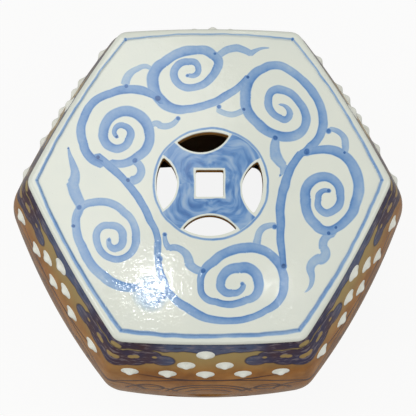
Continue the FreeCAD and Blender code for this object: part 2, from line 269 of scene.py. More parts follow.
class RingLoft:
    """A skin drawn from ring to ring round the stool's axis."""

    def __init__(self, steps: int, capped: bool) -> None:
        """Start with one ring.

        Args:
            steps: Steps per side.
            capped: Whether the first ring is closed by a face.
        """
        self.mesh = bmesh.new()
        made = bmesh.ops.create_circle(self.mesh, cap_ends=capped, segments=steps * 6, radius=1.0)
        self.front = list(made["verts"])
        for vert, angle in zip(self.front, corner_packed_angles(steps)):
            vert.co = (math.cos(angle), math.sin(angle), 0.0)
        self.cap = self.mesh.faces[:] if capped else []
        self.edges = self.mesh.edges[:]

    def settle(self, ring: Ring) -> None:
        """Move the newest ring to its place.

        Args:
            ring: Where it goes.
        """
        for vert in self.front:
            angle = math.atan2(vert.co.y, vert.co.x)
            reach = outline_reach(angle, ring.half_width, ring.bow, ring.soft)
            vert.co = Vector((reach * math.cos(angle), reach * math.sin(angle), ring.high)) * MM

    def grow(self) -> None:
        """Extrude the newest ring, or its cap."""
        if self.cap:
            made = bmesh.ops.extrude_face_region(self.mesh, geom=self.cap)["geom"]
            if len(self.mesh.faces) > len(self.front) + 2:
                bmesh.ops.delete(self.mesh, geom=self.cap, context="FACES_ONLY")
            self.cap = [part for part in made if isinstance(part, bmesh.types.BMFace)]
            self.front = list(self.cap[0].verts)
            return
        made = bmesh.ops.extrude_edge_only(self.mesh, edges=self.edges)["geom"]
        self.front = [part for part in made if isinstance(part, bmesh.types.BMVert)]
        newest = set(self.front)
        self.edges = [
            part
            for part in made
            if isinstance(part, bmesh.types.BMEdge) and newest.issuperset(part.verts)
        ]

    def draw(self, rings: Sequence[Ring]) -> "RingLoft":
        """Draw the skin through all the rings.

        Args:
            rings: The rings in order.

        Returns:
            This loft.
        """
        for number, ring in enumerate(rings):
            if number:
                self.grow()
            self.settle(ring)
        bmesh.ops.remove_doubles(self.mesh, verts=self.mesh.verts, dist=1e-6)
        bmesh.ops.recalc_face_normals(self.mesh, faces=self.mesh.faces)
        return self


def quarter(
    centre: tuple[float, float], radius: float, start: float, stop: float, steps: int
) -> Points:
    """Points on a part of a circle.

    Args:
        centre: Its centre.
        radius: Its radius.
        start: First angle in degrees.
        stop: Last angle in degrees.
        steps: How many steps.

    Returns:
        A list of points, ends included.
    """
    points = []
    for step in range(steps + 1):
        angle = math.radians(start + (stop - start) * step / steps)
        points.append((centre[0] + radius * math.cos(angle), centre[1] + radius * math.sin(angle)))
    return points


def to_piece(name: str, mesh: bmesh.types.BMesh, smooth: bool = True) -> bpy.types.Object:
    """Turn modelled clay into an object at the origin.

    Args:
        name: The piece's name.
        mesh: The modelled mesh, which is freed.
        smooth: Whether its faces shade smoothly.

    Returns:
        The new object.
    """
    data = bpy.data.meshes.new(name)
    for face in mesh.faces:
        face.smooth = smooth
    mesh.to_mesh(data)
    mesh.free()
    piece = bpy.data.objects.new(name, data)
    bpy.context.scene.collection.objects.link(piece)
    return piece


def carve(piece: bpy.types.Object, cutter: bpy.types.Object) -> None:
    """Cut openings out of a piece and drop the cutter.

    Args:
        piece: What is cut.
        cutter: The solid that is taken away.
    """
    change = piece.modifiers.new("openings", "BOOLEAN")
    change.operation = "DIFFERENCE"
    change.solver = "EXACT"
    change.object = cutter
    settled = piece.evaluated_get(bpy.context.evaluated_depsgraph_get())
    data = bpy.data.meshes.new_from_object(settled)
    piece.modifiers.remove(change)
    old = piece.data
    piece.data = data
    bpy.data.meshes.remove(old)
    data.name = piece.name
    bpy.data.objects.remove(cutter)


def soften_edges(
    piece: bpy.types.Object, width: float = 1.3, segments: int = 4, angle: float = 50.0
) -> None:
    """Round the sharp edges of a piece.

    Args:
        piece: The piece.
        width: Width of the rounding in millimetres.
        segments: Steps across it.
        angle: Edges sharper than this many degrees are rounded.
    """
    change = piece.modifiers.new("soft_edges", "BEVEL")
    change.width = width * MM
    change.segments = segments
    change.limit_method = "ANGLE"
    change.angle_limit = math.radians(angle)
    change.harden_normals = True
    change.miter_outer = "MITER_ARC"


@dataclass(frozen=True)
class Coin:
    """A pierced coin: lenses round a square hole.

    Attributes:
        radius: Radius of the circle that the lenses lie on.
        chord: Length of a lens.
        rise: Rise of a lens's inner arc.
        square: Side of the square hole.
        leans: Directions of the lenses in degrees.
        soft: Radius of the square's corners.
        trim: Degrees between the ends of a lens's two arcs, which blunt its tips.
    """

    radius: float
    chord: float
    rise: float
    square: float
    leans: tuple[float, ...] = (0.0, 90.0, 180.0, 270.0)
    soft: float = 1.6
    trim: float = 1.6

    @property
    def inner(self) -> float:
        """Radius of a lens's inner arc."""
        return ((self.chord / 2) ** 2 + self.rise**2) / (2 * self.rise)

    @property
    def out(self) -> float:
        """Distance of that arc's centre from the coin's."""
        return math.sqrt(self.radius**2 - (self.chord / 2) ** 2) - self.rise + self.inner

    def outlines(self) -> list[Points]:
        """Draw the lenses and the square about the coin's centre.

        Returns:
            The points of each.
        """
        turn = math.degrees(math.asin(self.chord / 2 / self.radius)) - self.trim
        back = math.degrees(math.asin(self.chord / 2 / self.inner)) - self.trim
        lens = quarter((0, 0), self.radius, -turn, turn, 30)
        lens += quarter((self.out, 0), self.inner, 180 - back, 180 + back, 30)
        spins = [Matrix.Rotation(math.radians(lean), 2) for lean in self.leans]
        lenses = [[tuple(spin @ Vector(point)) for point in lens] for spin in spins]
        off = self.square / 2 - self.soft
        square = []
        for number, (x, y) in enumerate(((1, 1), (-1, 1), (-1, -1), (1, -1))):
            square += quarter((x * off, y * off), self.soft, 90 * number, 90 * number + 90, 4)
        return [*lenses, square]


def make_cutter(coin: Coin, place: Matrix, depth: float) -> bpy.types.Object:
    """One solid that cuts a coin's openings.

    Args:
        coin: The coin.
        place: Takes the coin's plane to the stool.
        depth: How far the solid reaches to each side of the plane.

    Returns:
        The cutter.
    """
    mesh = bmesh.new()
    for outline in coin.outlines():
        made = bmesh.ops.create_circle(mesh, cap_ends=True, segments=len(outline), radius=1.0)
        for vert, (x, y) in zip(made["verts"], outline):
            vert.co = (x, y, -depth)
        face = made["verts"][0].link_faces[0]
        grown = bmesh.ops.extrude_face_region(mesh, geom=[face])["geom"]
        lifted = [part for part in grown if isinstance(part, bmesh.types.BMVert)]
        bmesh.ops.translate(mesh, verts=lifted, vec=(0, 0, 2 * depth))
    bmesh.ops.transform(mesh, matrix=Matrix.Scale(MM, 4) @ place, verts=mesh.verts)
    bmesh.ops.recalc_face_normals(mesh, faces=mesh.faces)
    return to_piece("cutter", mesh, smooth=False)


@dataclass
class TopSlab:
    """The pierced top with its rolled rim and sunk field.

    Attributes:
        half: Half width of the rim.
        soft: Radius of the rounded corners.
        roll: Radius of the rolled edge.
        lip: Radius of its lower edge.
        bead: Width of the rolled rim.
        recess: How far the field is sunk.
        crease: Radius where the rim drops to the field.
        field_bow: The bow's distance of the field's sides.
        coin: The pierced coin in its middle.
        shift: How far the coin lies from the axis.
        steps: Steps along a side.
    """

    half: float = 152.0
    soft: float = 11.0
    roll: float = 7.0
    lip: float = 1.2
    bead: float = 8.5
    recess: float = 1.2
    crease: float = 0.75
    field_bow: float = 520.0
    coin: Coin = Coin(50.0, 50.0, 13.0, 26.0, (-5.0, 98.0, 180.0, -90.0))
    shift: float = -2.5
    steps: int = 48

    def build(self, barrel: Barrel) -> bpy.types.Object:
        """Model the slab.

        Args:
            barrel: The stool's outline.

        Returns:
            The piece.
        """
        top, under = barrel.height, barrel.height - barrel.slab
        path = [(self.half - 6.0, under), (self.half - self.lip - 0.2, under + 0.05)]
        path += quarter((self.half - self.lip, under + self.lip), self.lip, -80, 0, 4)
        path += quarter((self.half - self.roll, top - self.roll), self.roll, 0, 88, 12)
        inner = self.half - self.bead + 1.3
        path += [(self.half - self.roll + 0.2, top), (inner + 1.0, top - 0.05)]
        path += quarter((inner + 0.1, top - self.crease), self.crease, 60, 175, 4)
        path += [(inner - 1.1, top - self.recess), (inner - 2.0, top - self.recess)]
        rings = []
        for number, (half, high) in enumerate(path):
            below = number < 6
            share = 0.0 if below else min((self.half - half) / self.bead, 1.0)
            bow = barrel.bow if below or half > inner + 2.0 else self.field_bow
            rings.append(Ring(half, high, bow, self.soft - 6.0 * share))
        loft = RingLoft(self.steps, capped=True).draw(rings)
        piece = to_piece("top_slab_glazed", loft.mesh)
        place = Matrix.Translation((0, self.shift, top - barrel.slab / 2))
        carve(piece, make_cutter(self.coin, place, barrel.slab))
        soften_edges(piece)
        return piece


@dataclass
class Walls:
    """The barrel's skin, front and back pierced, parted again into its six slabs.

    Attributes:
        soft: Radius of the rounded corners.
        rows: Rings from bottom to top.
        coin: The pierced coin of the hand holds.
        reach: How far the cutter goes through a wall, either way.
        steps: Steps along a side.
    """

    soft: float = 11.0
    rows: int = 40
    coin: Coin = Coin(47.0, 47.0, 12.5, 25.0)
    reach: float = 40.0
    steps: int = 48

    def rings(self, barrel: Barrel) -> list[Ring]:
        """The closed run of rings: up the outside and down the inside, whose sides are flat.

        Args:
            barrel: The stool's outline.

        Returns:
            The rings, the first one again at the end.
        """
        low, high = barrel.foot, barrel.height - barrel.slab
        levels = [low + (high - low) * row / self.rows for row in range(self.rows + 1)]
        rings = [
            Ring(barrel.half_width(level), level, barrel.bow_at(level), self.soft)
            for level in levels
        ]
        for level in reversed(levels[::2]):
            rings.append(Ring(barrel.half_width(level, barrel.wall), level, FLAT, 0.0))
        rings.append(rings[0])
        return rings

    def build(self, barrel: Barrel) -> list[tuple[str, bpy.types.Object]]:
        """Model the six walls.

        Args:
            barrel: The stool's outline.

        Returns:
            Each wall's face name and piece.
        """
        loft = RingLoft(self.steps, capped=False).draw(self.rings(barrel))
        shell = to_piece("barrel", loft.mesh)
        for turn in (0.0, 180.0):
            place = (
                Matrix.Rotation(math.radians(turn), 4, "Z")
                @ Matrix.Translation((0, -barrel.belly, barrel.height / 2))
                @ Matrix.Rotation(math.radians(90), 4, "X")
            )
            carve(shell, make_cutter(self.coin, place, self.reach))
        soften_edges(shell)
        walls = [(name, self.part(shell, name, angle)) for name, angle in FACE_ANGLES.items()]
        bpy.data.objects.remove(shell)
        return walls

    def part(self, shell: bpy.types.Object, name: str, angle: float) -> bpy.types.Object:
        """Take one face's share of the shell, with the whole shell's shading.

        Args:
            shell: The whole barrel.
            name: The face.
            angle: Where it faces, in degrees.

        Returns:
            The wall's piece.
        """
        settled = shell.evaluated_get(bpy.context.evaluated_depsgraph_get())
        data = bpy.data.meshes.new_from_object(settled)
        normals = [Vector(loop.vector) for loop in data.corner_normals]
        mesh = bmesh.new()
        mesh.from_mesh(data)
        slot = mesh.loops.layers.float_vector.new("shading")
        index = 0
        for face in mesh.faces:
            for loop in face.loops:
                loop[slot] = normals[index]
                index += 1
        for side in (-120.0, 120.0):
            cut = heading(angle + side)
            parts = mesh.verts[:] + mesh.edges[:] + mesh.faces[:]
            bmesh.ops.bisect_plane(
                mesh, geom=parts, plane_co=(0, 0, 0), plane_no=cut, clear_outer=True, dist=1e-6
            )
        slot = mesh.loops.layers.float_vector["shading"]
        kept = [Vector(loop[slot]).normalized() for face in mesh.faces for loop in face.loops]
        mesh.loops.layers.float_vector.remove(slot)
        piece = to_piece(f"wall_{name}_glazed", mesh)
        piece.data.normals_split_custom_set(kept)
        bpy.data.meshes.remove(data)
        return piece


@dataclass
class Studs:
    """The rows of pointed studs under the rim and above the foot.

    Attributes:
        radius: Radius of a stud.
        height: How far it stands proud.
        pitch: Distance between neighbours.
        shift: How far the rows lie from the face's middle.
        first_row: Distance of the outermost row from the end.
        row_step: Distance from row to row.
        rows: Places of each row's studs, counted in pitches.
        outline: A stud's profile from its foot to its tip, in radii and heights.
        least: Shares of the radius and the height that the smallest stud has.
        steps: Steps round a stud.
        seed: Starts the draws that vary the studs.
    """

    radius: float = 9.2
    height: float = 3.9
    pitch: float = 36.7
    shift: float = -4.0
    first_row: float = 30.0
    row_step: float = 23.5
    rows: tuple[tuple[float, ...], ...] = ((0,), (-0.5, 0.5), (-2, -1, 0, 1, 2))
    outline: tuple[tuple[float, float], ...] = (
        (1.0, -0.12),
        (0.985, 0.03),
        (0.93, 0.09),
        (0.8, 0.17),
        (0.64, 0.31),
        (0.49, 0.51),
        (0.36, 0.72),
        (0.24, 0.88),
        (0.12, 0.97),
        (0.0, 1.0),
    )
    least: tuple[float, float] = (0.94, 0.9)
    steps: int = 24
    seed: int = 7

    def one(self, rng: random.Random) -> bmesh.types.BMesh:
        """Spin one stud about +Z.

        Args:
            rng: Varies its size a little.

        Returns:
            Its mesh, in millimetres.
        """
        mesh = bmesh.new()
        wide = self.radius * rng.uniform(self.least[0], 1.0)
        tall = self.height * rng.uniform(self.least[1], 1.0)
        verts = [mesh.verts.new((x * wide, 0.0, z * tall)) for x, z in self.outline]
        edges = [mesh.edges.new(pair) for pair in zip(verts, verts[1:])]
        bmesh.ops.spin(
            mesh,
            geom=verts + edges,
            cent=(0, 0, 0),
            axis=(0, 0, 1),
            angle=math.tau,
            steps=self.steps,
            use_merge=True,
        )
        bmesh.ops.remove_doubles(mesh, verts=mesh.verts, dist=1e-4)
        rim = [edge for edge in mesh.edges if edge.is_boundary]
        bmesh.ops.contextual_create(mesh, geom=rim)
        bmesh.ops.recalc_face_normals(mesh, faces=mesh.faces)
        return mesh

    def seat(self, barrel: Barrel, turn: float, across: float, high: float) -> Matrix:
        """Where a stud sits on its face.

        Args:
            barrel: The stool's outline.
            turn: Where the face looks, in degrees.
            across: Distance from the face's middle.
            high: Height above the floor.

        Returns:
            A matrix that takes the stud's axis to the face's normal.
        """
        bow = barrel.bow_at(high)
        round_bow = bow + barrel.half_width(high)
        swing = math.asin(across / round_bow)
        out = round_bow * math.cos(swing) - bow
        lean = math.asin((high - barrel.height / 2) / barrel.radius)
        return (
            Matrix.Rotation(math.radians(turn), 4, "Z")
            @ Matrix.Translation((out, across, high))
            @ Matrix.Rotation(swing, 4, "Z")
            @ Matrix.Rotation(math.radians(90) - lean, 4, "Y")
        )

    def build(self, barrel: Barrel) -> list[tuple[str, bpy.types.Object]]:
        """Model the six groups of studs.

        Args:
            barrel: The stool's outline.

        Returns:
            Each group's face name and piece.
        """
        rng = random.Random(self.seed)
        drops = [self.first_row + self.row_step * row for row in range(len(self.rows))]
        spots = [
            (place * self.pitch + self.shift, high)
            for drop, places in zip(drops, self.rows)
            for place in places
            for high in (barrel.height - drop, drop)
        ]
        groups = []
        for name, turn in FACE_ANGLES.items():
            group = bmesh.new()
            for across, high in spots:
                stud = self.one(rng)
                seat = Matrix.Scale(MM, 4) @ self.seat(barrel, turn, across, high)
                bmesh.ops.transform(stud, matrix=seat, verts=stud.verts)
                data = bpy.data.meshes.new("stud")
                stud.to_mesh(data)
                stud.free()
                group.from_mesh(data)
                bpy.data.meshes.remove(data)
            groups.append((name, to_piece(f"bosses_{name}_glazed", group)))
        return groups


@dataclass
class FootRing:
    """The ring that the stool stands on.

    Attributes:
        half: Half width of its outer edge.
        width: Its width.
        soft: Radius of the rounded corners.
        edge: Radius of its lower outer edge.
        upper: Radius of its upper edges.
        lower: Radius of its lower inner edge.
        steps: Steps along a side.
    """

    half: float = 152.0
    width: float = 26.0
    soft: float = 11.0
    edge: float = 3.0
    upper: float = 1.5
    lower: float = 2.0
    steps: int = 40

    def build(self, barrel: Barrel) -> bpy.types.Object:
        """Model the foot ring.

        Args:
            barrel: The stool's outline.

        Returns:
            The piece.
        """
        inner, outer, top = self.half - self.width, self.half, barrel.foot
        path = [(inner + self.lower + 0.5, 0.0)]
        path += quarter((outer - self.edge, self.edge), self.edge, -90, 0, 6)
        path += quarter((outer - self.upper, top - self.upper), self.upper, 0, 90, 4)
        path += [(inner + self.upper, top)]
        path += quarter((inner + self.upper, top - self.upper), self.upper, 90, 180, 4)
        path += quarter((inner + self.lower, self.lower), self.lower, 180, 270, 4)
        rings = [Ring(half, high, barrel.bow, self.soft) for half, high in path]
        loft = RingLoft(self.steps, capped=False).draw(rings + rings[:1])
        return to_piece("foot_ring_glazed", loft.mesh)


Value = Union["Term", float, int]
Colour = tuple[float, float, float]
Circles = tuple[tuple[float, float, float], ...]


def from_screen(red: int, green: int, blue: int) -> Colour:
    """Take a colour as a screen shows it to the linear one that shaders mix.

    Args:
        red: 0 to 255.
        green: 0 to 255.
        blue: 0 to 255.

    Returns:
        The linear colour.
    """

    def one(part: int) -> float:
        """One of the three parts."""
        share = part / 255
        return share / 12.92 if share <= 0.04045 else ((share + 0.055) / 1.055) ** 2.4

    return one(red), one(green), one(blue)


class Term:
    """One value of a shader, which takes part in Python expressions."""

    def __init__(self, bench: "Bench", socket: bpy.types.NodeSocket) -> None:
        """Wrap a socket.

        Args:
            bench: Where new nodes go.
            socket: The socket that gives the value.
        """
        self.bench = bench
        self.socket = socket

    def __add__(self, other: Value) -> "Term":
        """Sum."""
        return self.bench.maths("ADD", self, other)

    __radd__ = __add__

    def __sub__(self, other: Value) -> "Term":
        """Difference."""
        return self.bench.maths("SUBTRACT", self, other)

    def __rsub__(self, other: Value) -> "Term":
        """Difference from a number."""
        return self.bench.maths("SUBTRACT", other, self)

    def __mul__(self, other: Value) -> "Term":
        """Product."""
        return self.bench.maths("MULTIPLY", self, other)

    __rmul__ = __mul__

    def __truediv__(self, other: Value) -> "Term":
        """Quotient."""
        return self.bench.maths("DIVIDE", self, other)

    def __rtruediv__(self, other: Value) -> "Term":
        """Quotient of a number by it."""
        return self.bench.maths("DIVIDE", other, self)

    def __abs__(self) -> "Term":
        """Size without sign."""
        return self.bench.maths("ABSOLUTE", self)

    def line(self, slope: Value, offset: Value) -> "Term":
        """This value times a slope plus an offset, in one node.

        Args:
            slope: The factor.
            offset: What is added.

        Returns:
            The result.
        """
        return self.bench.maths("MULTIPLY_ADD", self, slope, offset)

    def over(self, other: Value) -> "Term":
        """The larger of this and another value."""
        return self.bench.maths("MAXIMUM", self, other)

    def under(self, other: Value) -> "Term":
        """The smaller of this and another value."""
        return self.bench.maths("MINIMUM", self, other)

    def step(self, low: float, high: float, start: float = 0.0, stop: float = 1.0) -> "Term":
        """A soft step.

        Args:
            low: Where it starts.
            high: Where it ends.
            start: The value before it.
            stop: The value after it.

        Returns:
            The stepped value.
        """
        settings = {"interpolation_type": "SMOOTHSTEP"}
        values = {0: self, 1: low, 2: high, 3: start, 4: stop}
        made = self.bench.node("ShaderNodeMapRange", settings, values)
        return Term(self.bench, made.outputs[0])

    def fade(self, low: float, high: float, full: float = 1.0) -> "Term":
        """A soft step down to nought."""
        return self.step(low, high, full, 0.0)


class Bench:
    """A node tree and the means to add nodes to it."""

    def __init__(self, tree: bpy.types.NodeTree) -> None:
        """Clear a tree.

        Args:
            tree: The tree that new nodes go to.
        """
        self.tree = tree
        self.tree.nodes.clear()

    def node(
        self, kind: str, settings: dict[str, Any], values: dict[Union[int, str], Any]
    ) -> bpy.types.Node:
        """Any node.

        Args:
            kind: Its type.
            settings: What is set first, a ramp's stops among it.
            values: The values or links of its sockets.

        Returns:
            The node.
        """
        made = self.tree.nodes.new(kind)
        for key, value in settings.items():
            if key == "stops":
                self.set_stops(made, value)
            else:
                setattr(made, key, value)
        for key, value in values.items():
            if isinstance(value, Term):
                self.tree.links.new(value.socket, made.inputs[key])
            elif isinstance(value, bpy.types.NodeSocket):
                self.tree.links.new(value, made.inputs[key])
            else:
                made.inputs[key].default_value = value
        return made

    @staticmethod
    def set_stops(ramp: bpy.types.Node, stops: Sequence[tuple[float, Colour]]) -> None:
        """Give a ramp its stops.

        Args:
            ramp: The ramp node.
            stops: Places and colours.
        """
        elements = ramp.color_ramp.elements
        while len(elements) < len(stops):
            elements.new(0.5)
        for element, (place, colour) in zip(elements, stops):
            element.position = place
            element.color = (*colour, 1.0)

    def maths(self, operation: str, *terms: Value) -> Term:
        """A Math node. None clamps, because that holds up the nodes behind it.

        Args:
            operation: What it does.
            terms: Its inputs.

        Returns:
            Its result.
        """
        made = self.node("ShaderNodeMath", {"operation": operation}, dict(enumerate(terms)))
        return Term(self, made.outputs[0])

    def vector(self, operation: str, *terms: Any) -> Term:
        """A Vector Math node.

        Args:
            operation: What it does.
            terms: Its inputs.

        Returns:
            Its vector, or its number where the operation gives one.
        """
        made = self.node("ShaderNodeVectorMath", {"operation": operation}, dict(enumerate(terms)))
        number = operation in {"LENGTH", "DISTANCE", "DOT_PRODUCT"}
        return Term(self, made.outputs["Value" if number else "Vector"])

    def distance(self, place: Term, x: Value, y: Value) -> Term:
        """Distance from a point of the plane."""
        return self.vector("DISTANCE", place, (x, y, 0.0))

    def place(self) -> Term:
        """Object coordinates in millimetres."""
        made = self.node("ShaderNodeTexCoord", {}, {})
        return self.vector("MULTIPLY", Term(self, made.outputs["Object"]), (1 / MM,) * 3)

    def seen(self) -> Term:
        """1 where the camera looks, 0 for light that bounces."""
        return Term(self, self.node("ShaderNodeLightPath", {}, {}).outputs["Is Camera Ray"])

    def parts(self, vector: Term) -> tuple[Term, Term, Term]:
        """The three parts of a vector."""
        made = self.node("ShaderNodeSeparateXYZ", {}, {0: vector})
        return tuple(Term(self, made.outputs[number]) for number in range(3))

    def join(self, x: Value, y: Value, z: Value) -> Term:
        """A vector from three numbers."""
        return Term(self, self.node("ShaderNodeCombineXYZ", {}, {0: x, 1: y, 2: z}).outputs[0])

    def noise(self, place: Term, size: float, detail: float = 2.0, rough: float = 0.5) -> Term:
        """Cloudy noise about 0.5.

        Args:
            place: Coordinates in millimetres.
            size: Size of its features in millimetres.
            detail: How many finer layers it has.
            rough: Share of the finer layers.

        Returns:
            The noise.
        """
        values = {"Vector": place, "Scale": 1.0 / size, "Detail": detail, "Roughness": rough}
        return Term(self, self.node("ShaderNodeTexNoise", {}, values).outputs[0])

    def wobble(self, place: Term, size: float, reach: float) -> Term:
        """Shift coordinates a little, as an unsteady hand does.

        Args:
            place: Coordinates in millimetres.
            size: Size of the waves.
            reach: Largest shift.

        Returns:
            The shifted coordinates.
        """
        values = {"Vector": place, "Scale": 1.0 / size, "Detail": 1.0}
        made = self.node("ShaderNodeTexNoise", {}, values)
        off = self.vector("SUBTRACT", Term(self, made.outputs[1]), (0.5, 0.5, 0.5))
        scaled = self.vector("MULTIPLY", off, (2 * reach,) * 3)
        return self.vector("ADD", place, scaled)

    def mix(self, share: Value, first: Any, second: Any, blend: str = "MIX") -> Term:
        """Mix two colours.

        Args:
            share: Share of the second.
            first: A colour or a term.
            second: A colour or a term.
            blend: How they mix.

        Returns:
            The mixed colour.
        """
        pair = [(*part, 1.0) if isinstance(part, tuple) else part for part in (first, second)]
        settings = {"data_type": "RGBA", "blend_type": blend}
        made = self.node("ShaderNodeMix", settings, {0: share, 6: pair[0], 7: pair[1]})
        return Term(self, made.outputs[2])

    def ramp(self, share: Value, stops: Sequence[tuple[float, Colour]]) -> Term:
        """A colour ramp."""
        made = self.node("ShaderNodeValToRGB", {"stops": stops}, {0: share})
        return Term(self, made.outputs[0])


class Glaze(Bench):
    """A material on the bench."""

    def __init__(self, name: str) -> None:
        """Start a material.

        Args:
            name: Its name.
        """
        self.material = bpy.data.materials.new(name)
        self.material.use_nodes = True
        super().__init__(self.material.node_tree)

    def finish(
        self, colour: Term, roughness: Value, bumps: Sequence[tuple[Term, float]], shine: float
    ) -> bpy.types.Material:
        """Join everything to the shader.

        Args:
            colour: The base colour.
            roughness: The roughness.
            bumps: Heights and how many millimetres each stands for.
            shine: How much the surface mirrors; half is plain glass.

        Returns:
            The material.
        """
        normal: dict[str, bpy.types.NodeSocket] = {}
        for height, depth in bumps:
            values = {"Height": height, "Distance": depth * MM, "Strength": 1.0, **normal}
            normal = {"Normal": self.node("ShaderNodeBump", {}, values).outputs["Normal"]}
        values = {"Base Color": colour, "Roughness": roughness, "Specular IOR Level": shine}
        shader = self.node("ShaderNodeBsdfPrincipled", {}, {**values, **normal})
        self.node("ShaderNodeOutputMaterial", {}, {0: shader.outputs[0]})
        return self.material


@dataclass(frozen=True)
class Stroke:
    """One pull of the brush: a chain of arcs, each through three points.

    Attributes:
        tone: How much pigment it leaves.
        lean: How much more pigment its inner side has.
        path: Ends and middles of the arcs, in turn, in millimetres.
        widths: Half width at each end.
    """

    tone: float
    lean: float
    path: tuple[tuple[float, float], ...]
    widths: tuple[float, ...]


@dataclass(frozen=True)
class Arc:
    """One arc of a stroke.

    Attributes:
        centre: Its centre.
        radius: Its radius.
        axis: Direction from the centre to its middle.
        side: Direction along it at its middle.
        half: Half the angle it spans, in radians.
        flat: Least rise, as a share of the chord.
    """

    flat: ClassVar[float] = 0.02
    centre: Vector
    radius: float
    axis: Vector
    side: Vector
    half: float

    @staticmethod
    def through(start: Vector, middle: Vector, stop: Vector) -> "Arc":
        """The arc through three points.

        Args:
            start: First point.
            middle: A point between.
            stop: Last point.

        Returns:
            The arc.
        """
        chord = stop - start
        across = Vector((-chord.y, chord.x)).normalized()
        rise = (middle - (start + stop) / 2).dot(across)
        least = Arc.flat * chord.length
        if abs(rise) < least:
            middle = (start + stop) / 2 + across * math.copysign(least, rise or 1.0)
        one, two = middle - start, stop - start
        cross = 2 * (one.x * two.y - one.y * two.x)
        centre = start + Vector(
            (
                two.y * one.length_squared - one.y * two.length_squared,
                one.x * two.length_squared - two.x * one.length_squared,
            )
        ) / cross
        radius = (start - centre).length
        spokes = [(point - centre) / radius for point in (start, middle, stop)]
        halves = [math.acos(max(-1.0, min(1.0, spokes[1].dot(spokes[n])))) for n in (0, 2)]
        half = sum(halves) / 2
        turn = math.copysign(1.0, spokes[0].x * spokes[1].y - spokes[0].y * spokes[1].x)
        angle = math.atan2(spokes[0].y, spokes[0].x) + turn * half
        axis = Vector((math.cos(angle), math.sin(angle)))
        side = Vector((-axis.y, axis.x)) * turn
        return Arc(centre, radius, axis, side, half)


class ArcStencil:
    """The shader maths of one painted arc, kept once as a group and used for every arc."""

    SOCKETS = {
        "Place": "NodeSocketVector",
        "Centre": "NodeSocketVector",
        "Axis": "NodeSocketVector",
        "Swell": "NodeSocketVector",
        "Past": "NodeSocketFloat",
        "Radius": "NodeSocketFloat",
        "Wide": "NodeSocketFloat",
        "Tone": "NodeSocketFloat",
        "Lean": "NodeSocketFloat",
    }

    def __init__(self) -> None:
        """Write the maths."""
        self.group = bpy.data.node_groups.new("brush_arc", "ShaderNodeTree")
        for name, kind in self.SOCKETS.items():
            self.group.interface.new_socket(name, in_out="INPUT", socket_type=kind)
        self.group.interface.new_socket("Ink", in_out="OUTPUT", socket_type="NodeSocketFloat")
        bench = Bench(self.group)
        entry = bench.node("NodeGroupInput", {}, {})
        given = {name: Term(bench, entry.outputs[name]) for name in self.SOCKETS}
        spoke = bench.vector("SUBTRACT", given["Place"], given["Centre"])
        reach = bench.vector("LENGTH", spoke)
        along = bench.vector("DOT_PRODUCT", spoke, given["Axis"])
        past = reach.line(given["Past"], along).over(0.0)
        width = bench.vector("DOT_PRODUCT", spoke, given["Swell"]) + given["Wide"]
        off = (reach - given["Radius"]) / width.over(given["Wide"] * 0.3)
        near = abs(off) + past
        # Pigment gathers along a stroke's two edges, and more of it on the inner side
        edge = off * off
        shade = (edge * edge).line(0.34, 0.66) - off * given["Lean"] * 0.6
        # Full up to 0.9 of the half width, none beyond 1.1
        ink = near.line(-4.5, 5.0).under(1.0) * shade * given["Tone"]
        bench.node("NodeGroupOutput", {}, {"Ink": ink})

    def use(
        self, bench: Bench, place: Term, stroke: Stroke, arc: Arc, widths: Sequence[float]
    ) -> Term:
        """Paint one arc.

        Args:
            bench: The material's bench.
            place: Flat coordinates in millimetres.
            stroke: The stroke that it belongs to.
            arc: Its line.
            widths: Half width at its two ends.

        Returns:
            The pigment.
        """
        wide = sum(widths) / 2
        sharp = math.sin(arc.half) * wide
        back = -arc.axis / sharp
        swell = arc.side * (widths[1] - widths[0]) / (2 * arc.radius * math.sin(arc.half))
        values = {
            "Place": place,
            "Centre": (arc.centre.x, arc.centre.y, 0.0),
            "Axis": (back.x, back.y, 0.0),
            "Swell": (swell.x, swell.y, 0.0),
            "Past": math.cos(arc.half) / sharp,
            "Radius": arc.radius,
            "Wide": wide,
            "Tone": stroke.tone,
            "Lean": stroke.lean,
        }
        made = bench.node("ShaderNodeGroup", {"node_tree": self.group}, values)
        return Term(bench, made.outputs["Ink"])


class Brush:
    """Paints strokes into a material."""

    def __init__(self, bench: Bench, place: Term) -> None:
        """Take up the brush.

        Args:
            bench: The material's bench.
            place: Flat coordinates in millimetres.
        """
        self.bench = bench
        self.place = place
        self.stencil = ArcStencil()
        self.ink: Value = 0.0

    def lay(self, amount: Term) -> None:
        """Leave pigment where there is less.

        Args:
            amount: How much.
        """
        self.ink = amount.over(self.ink)

    def stroke(self, stroke: Stroke) -> None:
        """Paint a whole stroke.

        Args:
            stroke: The stroke.
        """
        points = [Vector(point) for point in stroke.path]
        for number, widths in enumerate(zip(stroke.widths, stroke.widths[1:])):
            arc = Arc.through(*points[2 * number : 2 * number + 3])
            self.lay(self.stencil.use(self.bench, self.place, stroke, arc, widths))

    def dot(self, x: float, y: float, radius: float, tone: float) -> None:
        """Paint the dark spot where the brush came down.

        Args:
            x: Its place.
            y: Its place.
            radius: Its radius.
            tone: How much pigment it leaves.
        """
        far = self.bench.distance(self.place, x, y)
        self.lay(far.line(-1.6 * tone / radius, 2.0 * tone).under(tone))


